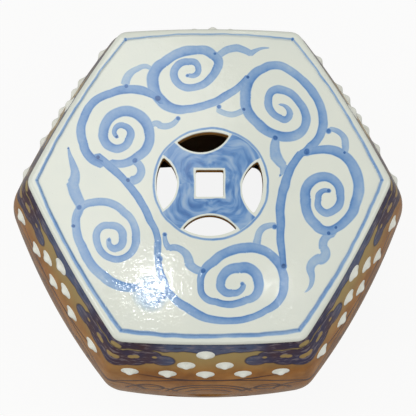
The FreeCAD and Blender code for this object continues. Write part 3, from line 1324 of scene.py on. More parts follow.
# The painted scrolls
SCROLLS = (
    # Far scroll
    Stroke(0.62, 0.35, (
        (-19.9, 103.1), (-13.6, 103.4), (-10.0, 109.5), (-13.1, 116.0), (-19.4, 117.3),
        (-29.7, 113.7), (-33.6, 104.4), (-29.1, 94.7), (-17.0, 90.9), (-1.4, 97.7), (7.4, 110.1),
        (8.9, 117.3), (4.5, 123.5), (-2.3, 128.1), (-12.1, 129.0), (-30.7, 125.0), (-43.4, 116.2),
        (-52.1, 107.0), (-53.8, 97.7), (-51.4, 85.5), (-45.1, 77.4), (-35.4, 70.8), (-20.9, 70.1),
        (-3.0, 73.6), (13.5, 81.5), (26.2, 89.9), (37.0, 101.6),
    ), (2.1, 2.9, 3.4, 3.7, 3.4, 4.1, 4.6, 4.5, 4.9, 5.6, 5.1, 3.9, 3.6, 3.2)),
    # Far left scroll
    Stroke(0.66, 0.35, (
        (-87.6, 42.7), (-89.6, 49.7), (-81.5, 53.7), (-74.7, 48.7), (-75.6, 41.2), (-81.2, 32.7),
        (-88.9, 31.1), (-98.1, 37.2), (-99.9, 46.2), (-93.2, 62.2), (-76.9, 67.8), (-62.3, 60.2),
        (-56.9, 46.2), (-58.2, 33.2), (-67.7, 23.3), (-79.1, 16.9), (-92.5, 17.4),
    ), (1.9, 2.8, 3.9, 3.9, 4.5, 4.9, 4.6, 4.2, 3.6)),
    # Far left loop
    Stroke(0.78, 0.25, (
        (-45.6, 76.9), (-53.8, 83.5), (-64.5, 88.0), (-78.1, 89.6), (-93.6, 85.0), (-109.9, 76.4),
        (-118.3, 62.2), (-121.3, 49.2), (-118.6, 36.2), (-113.6, 24.3), (-101.0, 15.6),
    ), (2.7, 4.3, 3.8, 4.1, 4.2, 3.9)),
    # Left stem
    Stroke(0.72, 0.1, (
        (-105.0, 22.8), (-90.9, 11.7), (-77.8, -1.6), (-64.8, -18.6), (-55.0, -38.2),
        (-49.1, -51.1), (-48.1, -69.4),
    ), (3.8, 3.6, 3.3, 2.9)),
    # Near scroll
    Stroke(0.68, 0.3, (
        (-48.6, -58.3), (-47.8, -75.4), (-42.6, -93.5), (-35.6, -107.4), (-21.7, -118.3),
        (-6.0, -127.2), (11.7, -130.7), (31.4, -129.3), (50.2, -121.5), (64.2, -110.6),
        (67.4, -97.7), (66.2, -84.7), (58.9, -73.6), (48.0, -65.5), (33.1, -64.0), (14.1, -68.5),
        (2.1, -77.5), (-6.9, -87.6), (-8.4, -97.5), (-5.5, -108.5), (4.9, -113.5), (19.7, -116.0),
        (32.5, -112.0), (44.0, -103.6), (44.1, -94.7), (38.8, -84.6), (26.9, -82.8), (14.0, -87.1),
        (9.7, -97.6), (12.8, -104.5), (20.8, -105.4), (27.2, -103.6), (30.5, -97.6),
    ), (2.7, 3.2, 4.0, 3.2, 3.0, 3.8, 4.0, 4.6, 4.3, 3.0, 3.1, 3.3, 4.5, 4.7, 4.1, 3.3, 2.3)),
    # Far right scroll
    Stroke(0.62, 0.35, (
        (67.2, 74.6), (73.5, 71.6), (76.2, 64.5), (73.2, 59.7), (67.5, 60.7), (58.9, 67.5),
        (56.3, 78.7), (59.2, 86.8), (66.0, 89.4), (76.7, 85.8), (85.2, 76.7), (90.8, 66.5),
        (91.4, 57.5), (85.5, 46.4), (74.8, 42.4), (58.5, 45.9), (45.2, 56.5), (36.1, 68.6),
        (34.6, 82.8), (39.9, 101.1), (51.8, 110.4), (62.6, 113.5), (73.3, 110.4), (88.7, 99.1),
        (99.1, 85.8), (106.4, 69.6), (107.5, 57.4), (104.8, 44.4), (94.8, 32.9), (90.9, 29.5),
        (86.0, 27.0),
    ), (1.0, 3.0, 3.2, 3.6, 4.0, 3.9, 4.1, 4.5, 4.7, 5.1, 4.4, 4.0, 3.9, 4.2, 3.7, 2.4)),
    # Right scroll
    Stroke(0.66, 0.3, (
        (110.8, -10.2), (103.8, -11.6), (101.5, -17.3), (101.8, -26.6), (110.2, -30.9),
        (118.4, -26.0), (121.4, -14.0), (118.5, -2.5), (106.9, 3.4), (93.9, -1.9), (89.5, -17.3),
        (91.0, -31.5), (99.2, -43.4), (107.6, -48.3), (116.2, -46.1), (127.1, -38.0),
        (135.0, -23.9), (139.4, -6.3), (135.2, 12.5), (124.8, 25.3), (108.7, 30.1), (96.8, 29.0),
        (85.9, 25.9),
    ), (2.0, 3.0, 3.5, 3.7, 4.5, 4.7, 4.6, 3.9, 4.8, 5.0, 4.2, 3.2)),
    # Right stem
    Stroke(0.78, 0.1, (
        (85.9, 25.9), (75.9, 11.4), (70.4, -4.1), (66.1, -21.6), (65.5, -37.9), (65.7, -61.7),
        (67.8, -83.0),
    ), (3.6, 4.2, 3.9, 2.7)),
    # Left scroll
    Stroke(0.56, 0.3, (
        (-93.5, -55.9), (-91.8, -61.8), (-86.5, -63.9), (-81.8, -61.3), (-80.1, -54.3),
        (-82.5, -46.2), (-93.2, -42.6), (-102.1, -45.7), (-104.8, -54.3), (-98.0, -68.7),
        (-84.7, -74.1), (-72.7, -68.2), (-68.4, -54.3), (-69.8, -42.5), (-79.6, -30.0),
        (-92.5, -21.3), (-109.5, -20.7), (-119.0, -25.0), (-123.5, -34.8), (-123.2, -46.7),
        (-117.6, -61.8), (-109.4, -77.8), (-96.5, -90.5), (-82.8, -98.8), (-68.1, -100.6),
    ), (2.2, 3.3, 3.5, 3.3, 3.3, 3.0, 3.7, 3.7, 3.6, 3.8, 4.1, 4.8, 3.8)),
    # Hook far left
    Stroke(0.4, 0.2, (
        (-79.7, 94.9), (-75.9, 104.9), (-67.7, 110.6), (-61.9, 112.5), (-56.5, 110.6),
    ), (4.0, 2.8, 2.1)),
    # Hook far
    Stroke(0.36, 0.2, (
        (8.4, 69.1), (19.2, 64.7), (32.3, 68.6),
    ), (2.9, 2.7)),
    # Hook right
    Stroke(0.45, 0.2, (
        (114.1, 49.9), (123.6, 45.9), (127.8, 34.9), (128.2, 30.4), (127.1, 26.4),
    ), (2.1, 3.5, 2.7)),
    # Hook near
    Stroke(0.42, 0.2, (
        (59.9, -42.4), (48.8, -45.7), (44.2, -55.4), (43.4, -59.4), (43.6, -63.5),
    ), (2.6, 3.3, 3.7)),
    # Hook left
    Stroke(0.45, 0.2, (
        (-69.5, 18.3), (-63.8, 10.0), (-73.0, 0.6),
    ), (3.3, 4.2)),
    # Curl far
    Stroke(0.42, 0, (
        (8.6, 122.6), (18.3, 129.6), (27.3, 131.3), (33.6, 129.1), (39.9, 125.1), (47.7, 129.6),
        (57.1, 131.3),
    ), (3.2, 3.8, 2.8, 0.6)),
    # Curl far right
    Stroke(0.48, 0, (
        (62.3, 40.9), (61.6, 32.5), (62.7, 23.5), (65.7, 18.1), (69.0, 14.1), (68.6, 9.7),
        (65.9, 4.0),
    ), (3.4, 5.5, 3.7, 0.7)),
    # Curl right
    Stroke(0.42, 0, (
        (113.9, -50.5), (106.3, -55.3), (104.8, -63.9), (105.9, -71.4), (100.5, -74.6),
        (94.1, -78.3), (92.5, -87.3), (92.6, -96.9), (87.3, -104.2),
    ), (3.3, 4.2, 4.6, 3.2, 0.8)),
    # Curl near
    Stroke(0.5, 0, (
        (-41.0, -51.0), (-40.8, -58.3), (-37.3, -63.9), (-30.8, -63.4), (-25.3, -66.4),
        (-20.8, -71.5), (-19.3, -77.5), (-14.8, -82.5), (-4.9, -85.6),
    ), (1.8, 2.9, 3.2, 4.3, 3.4)),
    # Curl left
    Stroke(0.52, 0, (
        (-132.3, 31.4), (-129.7, 21.2), (-126.0, 10.1), (-125.5, 3.4), (-128.1, -2.1),
        (-125.7, -10.8), (-120.1, -21.8), (-121.5, -31.6), (-126.0, -43.2),
    ), (0.8, 3.6, 5.5, 4.7, 1.4)),
    # Curl far left
    Stroke(0.42, 0, (
        (-54.8, 48.7), (-53.1, 54.7), (-47.8, 53.7), (-39.1, 53.2), (-29.5, 60.7),
    ), (2.1, 3.2, 2.3)),
)

# Where the brush came down: place and radius
SPOTS = (
    (-79.0, 92.6, 2.5), (-20.9, 102.9, 1.9), (-87.6, 42.7, 1.8), (-29.5, 60.7, 2.5),
    (9.1, 72.3, 2.5), (6.0, 125.5, 1.9), (-70.0, 19.4, 3.3), (-49.0, 79.9, 4.3), (32.8, 69.6, 2.1),
    (112.6, 47.9, 2.9), (61.8, 41.4, 3.3), (91.8, 29.0, 3.3), (37.0, 102.0, 2.3), (66.1, 4.8, 1.2),
    (127.3, 26.9, 1.8), (111.3, -10.2, 2.2), (117.0, -45.1, 2.0), (67.7, -80.9, 3.1),
    (91.4, 27.5, 3.9), (109.7, -50.4, 2.4), (-41.3, -51.4, 2.3), (29.4, -96.8, 2.1),
    (-5.9, -85.1, 3.3), (59.9, -43.7, 2.7), (-42.5, -107.9, 3.7), (-46.9, -73.9, 3.5),
    (-132.3, 31.4, 1.1), (-76.1, 0.6, 2.6), (-121.1, -25.3, 3.3), (-126.0, -43.2, 2.2),
    (-93.2, -56.2, 2.0), (-104.5, 22.3, 2.4), (-47.4, -113.3, 2.3),
)


# Light let through by more and more blue pigment
BLUE_WASH = (
    (0.0, (1.0, 1.0, 1.0)),
    (0.15, (0.6, 0.735, 0.95)),
    (0.3, (0.36, 0.53, 0.9)),
    (0.5, (0.185, 0.37, 0.8)),
    (0.7, (0.085, 0.225, 0.61)),
    (0.85, (0.04, 0.12, 0.38)),
    (1.0, (0.018, 0.055, 0.18)),
)


@dataclass(frozen=True)
class TopGlaze:
    """White glaze over blue brush painting.

    Attributes:
        white: The glaze.
        cool: The glaze where it is thicker.
        speck: Small burnt specks.
        crease: The line where the rim meets the field.
        brown: The bare brown of the holes' edges, painted paler as painted light against the shade
            in the holes.
        amber: The same where glaze ran over it.
        clay: The underside, painted paler as painted light in the dark hollow.
        coin_line: Radius of the circle round the coin.
        aside: How far to the right of the coin that circle lies.
        border: Distance of the painted border from the axis.
        corner: Distance of its corner spots.
        curve: The border draws in by this times the square of the distance along a side.
        groove: Distance of the rim's inner edge from the axis.
        full: Pigment in the spots where the brush came down.
        smudge: Place, radius and pigment of a faint smudge.
    """

    white: Colour = from_screen(229, 232, 219)
    cool: Colour = from_screen(216, 222, 214)
    speck: Colour = from_screen(150, 138, 110)
    crease: Colour = from_screen(140, 156, 165)
    brown: Colour = from_screen(150, 102, 42)
    amber: Colour = from_screen(190, 140, 74)
    clay: Colour = from_screen(205, 180, 148)
    coin_line: float = 53.5
    aside: float = 1.2
    border: float = 144.9
    corner: float = 161.0
    curve: float = 1 / 1230
    groove: float = 143.6
    full: float = 0.84
    smudge: tuple[float, float, float, float] = (-54.0, -105.0, 15.0, 0.3)

    def side_distance(self, bench: Bench, place: Term) -> Term:
        """Distance from the axis, measured square to the nearest bowed side.

        Args:
            bench: The material's bench.
            place: Flat coordinates in millimetres.

        Returns:
            The distance.
        """
        far: Value = 0.0
        for angle in (30.0, 90.0, 150.0):
            out = bench.vector("DOT_PRODUCT", place, heading(angle))
            along = bench.vector("DOT_PRODUCT", place, heading(angle + 90.0))
            far = (along * along).line(self.curve, abs(out)).over(far)
        return far

    def paint(self, bench: Bench, hand: Term, border: Term) -> Term:
        """Paint the scrolls, their spots and the lines round them.

        Args:
            bench: The material's bench.
            hand: Flat coordinates as an unsteady hand follows them.
            border: How far a point is from the border's line.

        Returns:
            The pigment.
        """
        brush = Brush(bench, hand)
        for stroke in SCROLLS:
            brush.stroke(stroke)
        for x, y, radius in SPOTS:
            brush.dot(x, y, 0.9 * radius, self.full)
        brush.dot(*self.smudge)
        circle = bench.distance(hand, self.aside, TopSlab().shift)
        brush.lay(abs(circle - self.coin_line).fade(0.4, 1.5, 0.5))
        brush.lay(border.fade(0.3, 2.0, 0.48))
        for side in range(6):
            x, y, _ = heading(60.0 * side, self.corner)
            brush.dot(x, y, 1.5, 0.7)
        return brush.ink

    def coin_web(self, bench: Bench, place: Term) -> Term:
        """Where the web of the coin is washed with blue.

        Args:
            bench: The material's bench.
            place: Flat coordinates in millimetres.

        Returns:
            1 on the web, 0 elsewhere.
        """
        slab = TopSlab()
        inner = slab.coin.inner
        web = bench.distance(place, self.aside, slab.shift).fade(51.5, 53.0)
        for lean in slab.coin.leans:
            x, y, _ = heading(lean, slab.coin.out)
            web = web * bench.distance(place, x, y + slab.shift).step(inner + 1.2, inner + 2.4)
        x, y, _ = bench.parts(place)
        return web * abs(x).over(abs(y - slab.shift)).step(14.2, 15.2)

    def sweep(self, bench: Bench, flat: Term) -> Term:
        """The streaks of the wash, which follow the coin's square round and round.

        Args:
            bench: The material's bench.
            flat: Flat coordinates in millimetres.

        Returns:
            How much pigment the wash holds.
        """
        loose_x, loose_y, _ = bench.parts(bench.wobble(flat, 24.0, 9.0))
        loose_y = loose_y - TopSlab().shift
        square_x, square_y = loose_x * loose_x, loose_y * loose_y
        fourth = bench.maths("SQRT", square_x * square_x + square_y * square_y)
        around = bench.maths("ARCTAN2", loose_y, loose_x) * 9.0
        swept = bench.join(bench.maths("SQRT", fourth), around, 0.0)
        return bench.noise(swept, 5.5).step(0.3, 0.72, 0.26, 0.68)

    def build(self) -> bpy.types.Material:
        """Make the material.

        Returns:
            The material.
        """
        bench = Glaze("top_glaze")
        slab, top = TopSlab(), Barrel().height
        solid = bench.place()
        x, y, z = bench.parts(solid)
        flat = bench.join(x, y, 0.0)
        hand = bench.wobble(flat, 16.0, 1.0)
        side = self.side_distance(bench, hand)
        ink = self.paint(bench, hand, y * 0.005 + abs(side - self.border))
        cloud = bench.noise(flat, 30.0, 3.0, 0.6)
        grain = bench.noise(flat, 3.2, 3.0, 0.65)
        painted = ink * (cloud.line(1.1, 0.3) * grain.line(0.45, 0.78))
        wash = self.coin_web(bench, hand) * self.sweep(bench, flat) * cloud.line(0.6, 0.72)
        # The blue ends below the face, where the holes' walls begin
        high = z.step(top - 2.4, top - 1.7)
        pigment = painted.over(wash) * high
        specks = bench.noise(flat, 1.6, 1.0).step(0.74, 0.8)
        ground = bench.mix(bench.noise(flat, 45.0, 3.0, 0.6), self.white, self.cool)
        ground = bench.mix(specks * 0.25, ground, self.speck)
        edge = abs(side - self.groove).fade(0.2, 1.4, 0.3)
        ground = bench.mix(edge * high, ground, self.crease)
        tinted = bench.mix(1.0, ground, bench.ramp(pigment, BLUE_WASH), "MULTIPLY")
        # Brown inside the holes and raw clay underneath, both painted paler as painted light in
        # the shade there
        hole = bench.distance(flat, 0.0, slab.shift).fade(52.0, 52.6)
        throat = z.fade(top - 4.4, top - 2.8) * hole
        brown = bench.mix(bench.noise(solid, 6.0), self.brown, self.amber)
        glazed = bench.mix(throat, tinted, brown)
        colour = bench.mix(z.step(top - 11.8, top - 11.2), self.clay, glazed)
        # Fine orange peel, in patches, breaks up the lamps' reflections
        roughness = bench.noise(flat, 22.0, 4.0, 0.7).line(0.04, 0.05)
        waves = bench.noise(solid, 9.0)
        rough = bench.noise(flat, 6.0, 2.0, 0.6).step(0.42, 0.6, 0.2, 1.0)
        peel = bench.noise(solid, 2.4, 3.0, 0.6) * rough
        return bench.finish(colour, roughness, ((waves, 0.035), (peel, 0.058)), 0.5)


@dataclass(frozen=True)
class WallGlaze:
    """The walls' brown, a painted reflection of a wooden floor, with blue clouds at the corners
    and drawn brown lines.

    Attributes:
        reflected_brown: The walls' brown, a painted reflection of a wooden floor on the glaze.
        dark: Darker runs in that painted reflection.
        light: Paler patches in that painted reflection.
        reflected_olive: Painted reflection near the ends, where the walls tilt up.
        drawn: The brush lines, brown where the painted reflection tints the blue painting.
        indigo: The clouds and the band.
        plum: Purple patches in them, where the painted reflection tints the blue.
        grey_blue: The band in the middle of a side.
        painted_sheen: Pale streaks in the blue, painted highlights.
        night: Dark streaks in the blue.
        outline: The clouds' outline.
        clay: The inside's bare clay, painted paler than the coils' clay as painted light in the
            dark hollow.
        burnt: Darker patches of it.
        grit: Grains in it.
        spots: Bare spots in the clouds.
        clouds: The circles that a cloud is made of.
        long_arcs: Circles whose lines cross the whole side.
        arches: Circles of the small wave.
    """

    # The brown ground colours below are a painted reflection of a wooden floor
    reflected_brown: Colour = from_screen(160, 102, 33)
    dark: Colour = from_screen(122, 74, 20)
    light: Colour = from_screen(188, 140, 76)
    reflected_olive: Colour = from_screen(164, 150, 102)
    drawn: Colour = from_screen(70, 29, 9)
    indigo: Colour = from_screen(36, 40, 80)
    plum: Colour = from_screen(62, 36, 52)
    grey_blue: Colour = from_screen(80, 98, 132)
    painted_sheen: Colour = from_screen(134, 124, 132)
    night: Colour = from_screen(38, 36, 66)
    outline: Colour = from_screen(36, 28, 50)
    clay: Colour = from_screen(204, 178, 146)
    burnt: Colour = from_screen(172, 138, 104)
    grit: Colour = from_screen(92, 66, 46)
    spots: Circles = (
        (86.0, 19.0, 4.2),
        (70.0, 38.0, 3.6),
        (74.0, 39.0, 3.4),
        (89.0, 42.0, 4.4),
        (52.0, 38.0, 2.2),
    )
    clouds: Circles = (
        (44.0, 44.0, 11.0),
        (58.0, 38.0, 14.0),
        (74.0, 42.0, 17.0),
        (92.0, 43.0, 20.0),
    )
    long_arcs: Circles = (
        (0.0, -70.0, 168.0),
        (0.0, 300.0, 203.0),
    )
    arches: Circles = (
        (0.0, 160.0, 44.0),
        (0.0, 162.0, 37.0),
        (0.0, 164.0, 25.0),
        (60.0, 136.0, 13.0),
        (60.0, 158.0, 26.0),
        (92.0, 150.0, 24.0),
    )

    @staticmethod
    def draw(bench: Bench, page: Term, circles: Circles) -> Term:
        """Draw a set of circles with a thin brush.

        Args:
            bench: The material's bench.
            page: Distance from the side's middle and from the nearer end.
            circles: Centre and radius of each.

        Returns:
            1 on the lines, 0 elsewhere.
        """
        lines: Value = 0.0
        for x, drop, radius in circles:
            lines = abs(bench.distance(page, x, drop) - radius).fade(1.3, 2.7).over(lines)
        return lines

    def depth(self, bench: Bench) -> Term:
        """How deep a point lies under the flat of its side.

        Args:
            bench: The material's bench.

        Returns:
            The depth in millimetres.
        """
        barrel = Barrel()
        place = bench.place()
        _, _, z = bench.parts(place)
        out: Value = 0.0
        for angle in (30.0, 90.0, 150.0):
            out = abs(bench.vector("DOT_PRODUCT", place, heading(angle))).over(out)
        off = z - barrel.height / 2
        profile = bench.maths("SQRT", (off * off).line(-1.0, barrel.radius**2))
        return profile + (barrel.belly - barrel.radius) - out

    def blots(self, bench: Bench, page: Term, scallop: Term) -> tuple[Term, Term]:
        """The band under the rim and the clouds that hang from it.

        Args:
            bench: The material's bench.
            page: Distance from the side's middle and from the nearer end.
            scallop: Varies the band's lower edge.

        Returns:
            The painted areas and their outline, both from 0 to 1.
        """
        wide, drop, _ = bench.parts(page)
        blot: Value = 60.0
        for cloud_x, cloud_h, radius in self.clouds:
            blot = (bench.distance(page, cloud_x, cloud_h) - radius).under(blot)
        band = drop - scallop.line(9.0, 19.0) - wide.line(-0.35, 8.0).over(0.0)
        blot = blot.under(band)
        spare: Value = 9.0
        for spot_x, spot_h, radius in self.spots:
            spare = (bench.distance(page, spot_x, spot_h) - radius).under(spare)
        return blot.fade(-0.8, 0.9) * spare.step(-0.6, 0.8), abs(blot).fade(0.2, 1.9)

    def ground(self, bench: Bench, solid: Term, patch: Term, drop: Term) -> Term:
        """The walls' brown, a painted reflection of a wooden floor, with its runs and patches,
        greener towards the ends where the walls tilt up.

        Args:
            bench: The material's bench.
            solid: Coordinates in millimetres.
            patch: Large soft patches.
            drop: Distance from the nearer end.

        Returns:
            The colour.
        """
        runs = bench.noise(bench.vector("MULTIPLY", solid, (1.0, 1.0, 0.3)), 17.0, 3.0, 0.6)
        # Brown runs and paler patches, all a painted reflection of a wooden floor
        ground = bench.mix(runs.step(0.34, 0.7, 0.0, 0.75), self.reflected_brown, self.dark)
        ground = bench.mix(patch.step(0.4, 0.75, 0.0, 0.5), ground, self.light)
        # Greener towards the ends, where the tilting walls show a painted reflection of farther
        # surroundings
        return bench.mix(drop.fade(26.0, 84.0, 0.75), ground, self.reflected_olive)

    def ink(self, bench: Bench, page: Term, patch: Term, wide: Term) -> Term:
        """The blue of the band and clouds, streaked by the brush, with pale painted highlights.

        Args:
            bench: The material's bench.
            page: Distance from the side's middle and from the nearer end.
            patch: Large soft patches.
            wide: Distance from the side's middle.

        Returns:
            The colour.
        """
        # Purple patches are the blue tinted by the painted reflection of the floor
        inky = bench.mix(patch.step(0.35, 0.65), self.indigo, self.plum)
        inky = bench.mix(wide.fade(28.0, 62.0, 0.75), inky, self.grey_blue)
        swirl = bench.noise(bench.vector("MULTIPLY", page, (0.4, 1.0, 1.0)), 5.0, 3.0, 0.6)
        # Pale streaks are painted highlights on the blue
        inky = bench.mix(swirl.step(0.5, 0.66, 0.0, 0.6), inky, self.painted_sheen)
        return bench.mix(swirl.fade(0.3, 0.46, 0.7), inky, self.night)

    def build(self) -> bpy.types.Material:
        """Make the material.

        Returns:
            The material.
        """
        bench = Glaze("wall_glaze")
        solid = bench.wobble(bench.place(), 22.0, 1.6)
        x, y, z = bench.parts(solid)
        third = math.pi / 3
        swing = bench.maths("FLOORED_MODULO", bench.maths("ARCTAN2", y, x), third) - third / 2
        across = bench.maths("SQRT", x * x + y * y) * bench.maths("SINE", swing)
        wide = abs(across)
        drop = (Barrel().height - z).under(z)
        page = bench.join(wide, drop, 0.0)
        scallop = bench.noise(bench.join(across, 0.0, z * 0.02), 16.0, 1.0)
        cloud, rim = self.blots(bench, page, scallop)
        arches = self.draw(bench, page, self.arches) * drop.fade(148.0, 160.0)
        lines = arches.over(self.draw(bench, page, self.long_arcs) * drop.step(74.0, 92.0))
        patch = bench.noise(solid, 48.0, 3.0, 0.6)
        # The walls' brown and its greener ends are a painted reflection of a wooden floor
        ground = self.ground(bench, solid, patch, drop)
        colour = bench.mix(cloud * 0.94, ground, self.ink(bench, page, patch, wide))
        colour = bench.mix(rim * 0.6, colour, self.outline)
        # The lines' brown is the blue painting tinted by the painted reflection of the floor
        colour = bench.mix(lines * 0.96, colour, self.drawn)
        # The inside's clay is painted paler as painted light in the dark hollow
        bare = bench.mix(patch, self.clay, self.burnt)
        grit = bench.noise(solid, 1.6, 3.0, 0.75).step(0.6, 0.75, 0.0, 0.4)
        bare = bench.mix(grit, bare, self.grit)
        inside = self.depth(bench).step(8.5, 10.0)
        colour = bench.mix(inside, colour, bare)
        roughness = bench.noise(solid, 20.0, 3.0, 0.6).line(0.12, 0.1) + inside * 0.6
        waves = bench.noise(solid, 18.0)
        peel = bench.noise(solid, 2.6, 2.0, 0.6)
        heights = ((waves, 0.3), (peel, 0.03), (lines.line(-1.0, 1.0), 0.06))
        return bench.finish(colour, roughness, heights, 0.04)


@dataclass(frozen=True)
class StudGlaze:
    """Off-white glaze, a little darker where it lies thicker.

    Attributes:
        white: The glaze.
        pooled: The glaze where it is thicker.
    """

    white: Colour = from_screen(236, 238, 228)
    pooled: Colour = from_screen(186, 186, 166)

    def build(self) -> bpy.types.Material:
        """Make the material.

        Returns:
            The material.
        """
        bench = Glaze("boss_glaze")
        solid = bench.place()
        patch = bench.noise(solid, 9.0, 3.0, 0.6)
        colour = bench.mix(patch.step(0.5, 0.8, 0.0, 0.5), self.white, self.pooled)
        return bench.finish(colour, patch.line(0.15, 0.15), ((patch, 0.15),), 0.35)


@dataclass(frozen=True)
class FootGlaze:
    """Brown glaze, rubbed bare where it meets the floor.

    Attributes:
        brown: The glaze.
        dark: Its darker patches.
        bare: The clay under it.
    """

    brown: Colour = from_screen(118, 76, 42)
    dark: Colour = from_screen(84, 52, 30)
    bare: Colour = from_screen(186, 158, 124)

    def build(self) -> bpy.types.Material:
        """Make the material.

        Returns:
            The material.
        """
        bench = Glaze("foot")
        solid = bench.place()
        _, _, z = bench.parts(solid)
        patch = bench.noise(solid, 14.0, 4.0, 0.65)
        worn = (z - patch * 6.0).fade(-2.6, 0.2)
        glaze = bench.mix(patch, self.brown, self.dark)
        colour = bench.mix(worn, glaze, self.bare)
        grain = bench.noise(solid, 1.2, 3.0, 0.7)
        return bench.finish(colour, worn.line(0.62, 0.2), ((grain, 0.12), (patch, 0.3)), 0.3)


@dataclass(frozen=True)
class RawClay:
    """Unglazed clay, wiped smooth by hand.

    Attributes:
        light: The clay.
        dark: Its darker patches.
        grit: Grains in it.
    """

    light: Colour = from_screen(184, 158, 128)
    dark: Colour = from_screen(140, 108, 80)
    grit: Colour = from_screen(96, 70, 50)

    def build(self) -> bpy.types.Material:
        """Make the material.

        Returns:
            The material.
        """
        bench = Glaze("raw_clay")
        solid = bench.place()
        patch = bench.noise(solid, 26.0, 4.0, 0.65)
        grit = bench.noise(solid, 1.4, 3.0, 0.75)
        wiped = bench.noise(bench.vector("MULTIPLY", solid, (0.3, 0.3, 1.6)), 8.0, 2.0, 0.5)
        colour = bench.mix(patch.step(0.3, 0.7), self.light, self.dark)
        colour = bench.mix(grit.step(0.66, 0.78, 0.0, 0.5), colour, self.grit)
        heights = ((wiped, 0.5), (grit, 0.2))
        return bench.finish(colour, grit.line(0.2, 0.7), heights, 0.25)


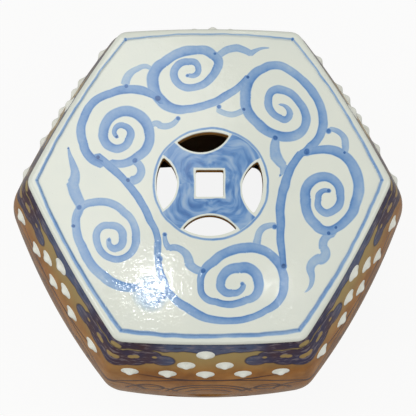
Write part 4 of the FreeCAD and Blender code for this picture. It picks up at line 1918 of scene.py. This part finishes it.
@dataclass
class Studio:
    """Pale floor, soft lights and the camera.

    Attributes:
        floor: Half the floor's side in metres.
        lens: Focal length in millimetres.
        distance: Distance of the camera from the top, in seat units.
        unit: Length of a seat unit in metres.
        rise: Height of the camera over the horizon in degrees.
        swing: Its turn round the stool in degrees.
        lean: How it is turned away from the seat's middle, and its roll, in degrees.
        matt: Colour of the floor.
        glow: How brightly the floor shows to the camera.
        share: Share of that glow.
        sky: Colour of the light all round.
        dim: Strength of that light.
        veil: How much brighter the camera sees it.
        aim: Height in metres that the lamps look at.
        lamps: Name, place and side in metres, and power in watts.
        sparks: Directions of the small side lamps in degrees.
        spark: Their reach, height and side in metres, and power in watts.
    """

    floor: float = 6.0
    lens: float = 86.5
    distance: float = 5.487
    unit: float = 0.170
    rise: float = 76.337
    swing: float = -2.988
    lean: tuple[float, float, float] = (-0.094, 1.591, -2.852)
    matt: tuple[float, float, float, float] = (0.4, 0.4, 0.39, 1.0)
    glow: float = 1.12
    share: float = 0.8
    sky: tuple[float, float, float, float] = (1.0, 0.985, 0.96, 1.0)
    dim: float = 0.5
    veil: float = 0.45
    aim: float = 0.25
    lamps: tuple[tuple[str, tuple[float, float, float], float, float], ...] = (
        ("overhead", (-0.9, 0.7, 2.6), 1.6, 18.0),
        ("front", (0.6, -2.6, 1.5), 1.8, 9.0),
        ("left", (-2.4, -0.6, 1.2), 1.4, 9.0),
        ("right", (2.4, -0.2, 1.2), 1.4, 9.0),
        ("lamp", (-0.133, 0.146, 2.25), 0.06, 0.75),
        ("glint", (0.201, 0.145, 2.25), 0.02, 0.09),
    )
    sparks: tuple[float, ...] = (-75.0, -155.0, 0.0, 85.0)
    spark: tuple[float, float, float, float] = (2.3, 1.35, 0.12, 2.5)

    def make_floor(self) -> None:
        """A large pale floor that keeps the stool's shadow."""
        mesh = bmesh.new()
        bmesh.ops.create_grid(mesh, x_segments=4, y_segments=4, size=self.floor)
        piece = to_piece("floor", mesh)
        bench = Glaze("floor")
        shader = bench.node("ShaderNodeBsdfDiffuse", {}, {0: self.matt})
        glow = bench.node("ShaderNodeEmission", {}, {0: (1.0, 1.0, 1.0, 1.0), 1: self.glow})
        seen = bench.seen() * self.share
        values = {0: seen, 1: shader.outputs[0], 2: glow.outputs[0]}
        mixed = bench.node("ShaderNodeMixShader", {}, values)
        bench.node("ShaderNodeOutputMaterial", {}, {0: mixed.outputs[0]})
        piece.data.materials.append(bench.material)
        piece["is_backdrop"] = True

    def make_light(self, name: str, place: Sequence[float], size: float, power: float) -> None:
        """A square soft light that looks at the stool.

        Args:
            name: Its name.
            place: Where it hangs, in metres.
            size: Its side, in metres.
            power: Its power in watts.
        """
        data = bpy.data.lights.new(name, "AREA")
        data.size = size
        data.energy = power
        lamp = bpy.data.objects.new(name, data)
        lamp.location = place
        beam = Vector((0.0, 0.0, self.aim)) - Vector(place)
        lamp.rotation_euler = beam.to_track_quat("-Z", "Y").to_euler()
        bpy.context.scene.collection.objects.link(lamp)

    def make_lights(self) -> None:
        """Soft lights all round, and small lamps that leave bright spots on the glaze."""
        for lamp in self.lamps:
            self.make_light(*lamp)
        reach, high, size, power = self.spark
        for number, turn in enumerate(self.sparks):
            place = heading(turn, reach) + Vector((0.0, 0.0, high))
            self.make_light(f"spark_{number}", place, size, power)
        world = bpy.data.worlds.new("studio")
        world.use_nodes = True
        bench = Bench(world.node_tree)
        values = {0: self.sky, 1: bench.seen().line(self.veil, self.dim)}
        sky = bench.node("ShaderNodeBackground", {}, values)
        bench.node("ShaderNodeOutputWorld", {}, {0: sky.outputs[0]})
        bpy.context.scene.world = world

    def make_camera(self, top: float) -> None:
        """The camera at the photograph's viewpoint.

        Args:
            top: Height of the stool in metres.
        """
        rise, swing = math.radians(self.rise), math.radians(self.swing)
        spot = self.distance * Vector(
            (
                math.cos(rise) * math.sin(swing),
                -math.cos(rise) * math.cos(swing),
                math.sin(rise),
            )
        )
        ahead = -spot.normalized()
        right = ahead.cross(Vector((0.0, 0.0, 1.0))).normalized()
        above = right.cross(ahead)
        across, up, roll = (math.radians(angle) for angle in self.lean)
        tilt = Matrix.Rotation(across, 3, "Y") @ Matrix.Rotation(up, 3, "X")
        view = tilt @ Matrix.Rotation(roll, 3, "Z") @ Matrix((right, above, -ahead))
        data = bpy.data.cameras.new("camera")
        data.lens = self.lens
        data.sensor_width = 36.0
        camera = bpy.data.objects.new("camera", data)
        place = Vector((0.0, 0.0, top)) + self.unit * spot
        camera.matrix_world = Matrix.Translation(place) @ view.transposed().to_4x4()
        bpy.context.scene.collection.objects.link(camera)
        bpy.context.scene.camera = camera


class Stool:
    """The whole stool: its pieces, their glazes and their places on the frame."""

    def __init__(self, frame: dict[str, Any]) -> None:
        """Keep the frame.
        """
        self.frame = frame
        self.barrel = Barrel()

    def settle(
        self, piece: bpy.types.Object, node: str, slot: Slot, material: bpy.types.Material
    ) -> None:
        """Put a piece in a node's place.

        Args:
            piece: The piece.
            node: The node it stands for.
            slot: Not used.
            material: Its glaze.
        """
        piece.data.materials.clear()
        piece.data.materials.append(material)
        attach(piece, ROOT)
        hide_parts(node)
        LOG.info("%s stands for %s", piece.name, node)

    def build(self) -> None:
        """Model and glaze every piece."""
        self.settle(TopSlab().build(self.barrel), "top_slab", Slot.TOP, TopGlaze().build())
        wall_glaze = WallGlaze().build()
        for name, wall in Walls().build(self.barrel):
            self.settle(wall, f"wall_{name}", Slot.WALL, wall_glaze)
        stud_glaze = StudGlaze().build()
        for name, group in Studs().build(self.barrel):
            self.settle(group, f"bosses_{name}", Slot.STUD, stud_glaze)
        self.settle(FootRing().build(self.barrel), "foot_ring", Slot.FOOT, FootGlaze().build())
        clay = RawClay().build()
        for node in [f"corner_coil_{name}" for name in CORNER_NAMES] + ["top_joint_coil"]:
            coil = self.frame["nodes"][node]
            coil.data.materials.clear()
            coil.data.materials.append(clay)
            LOG.info("%s keeps its shape", node)


def plain(box: Any) -> list[list[float]]:
    """A box as plain lists of numbers."""
    return [[float(part) for part in corner] for corner in box]


def main() -> None:
    """Build the stool and its studio."""
    logging.basicConfig(level=logging.INFO, format="%(name)s: %(message)s")
    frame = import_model()
    packed = plain(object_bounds())
    bpy.context.scene.view_settings.view_transform = "Standard"
    Stool(frame).build()
    studio = Studio()
    studio.make_floor()
    studio.make_lights()
    studio.make_camera(packed[1][2])


if __name__ == "__main__":
    main()
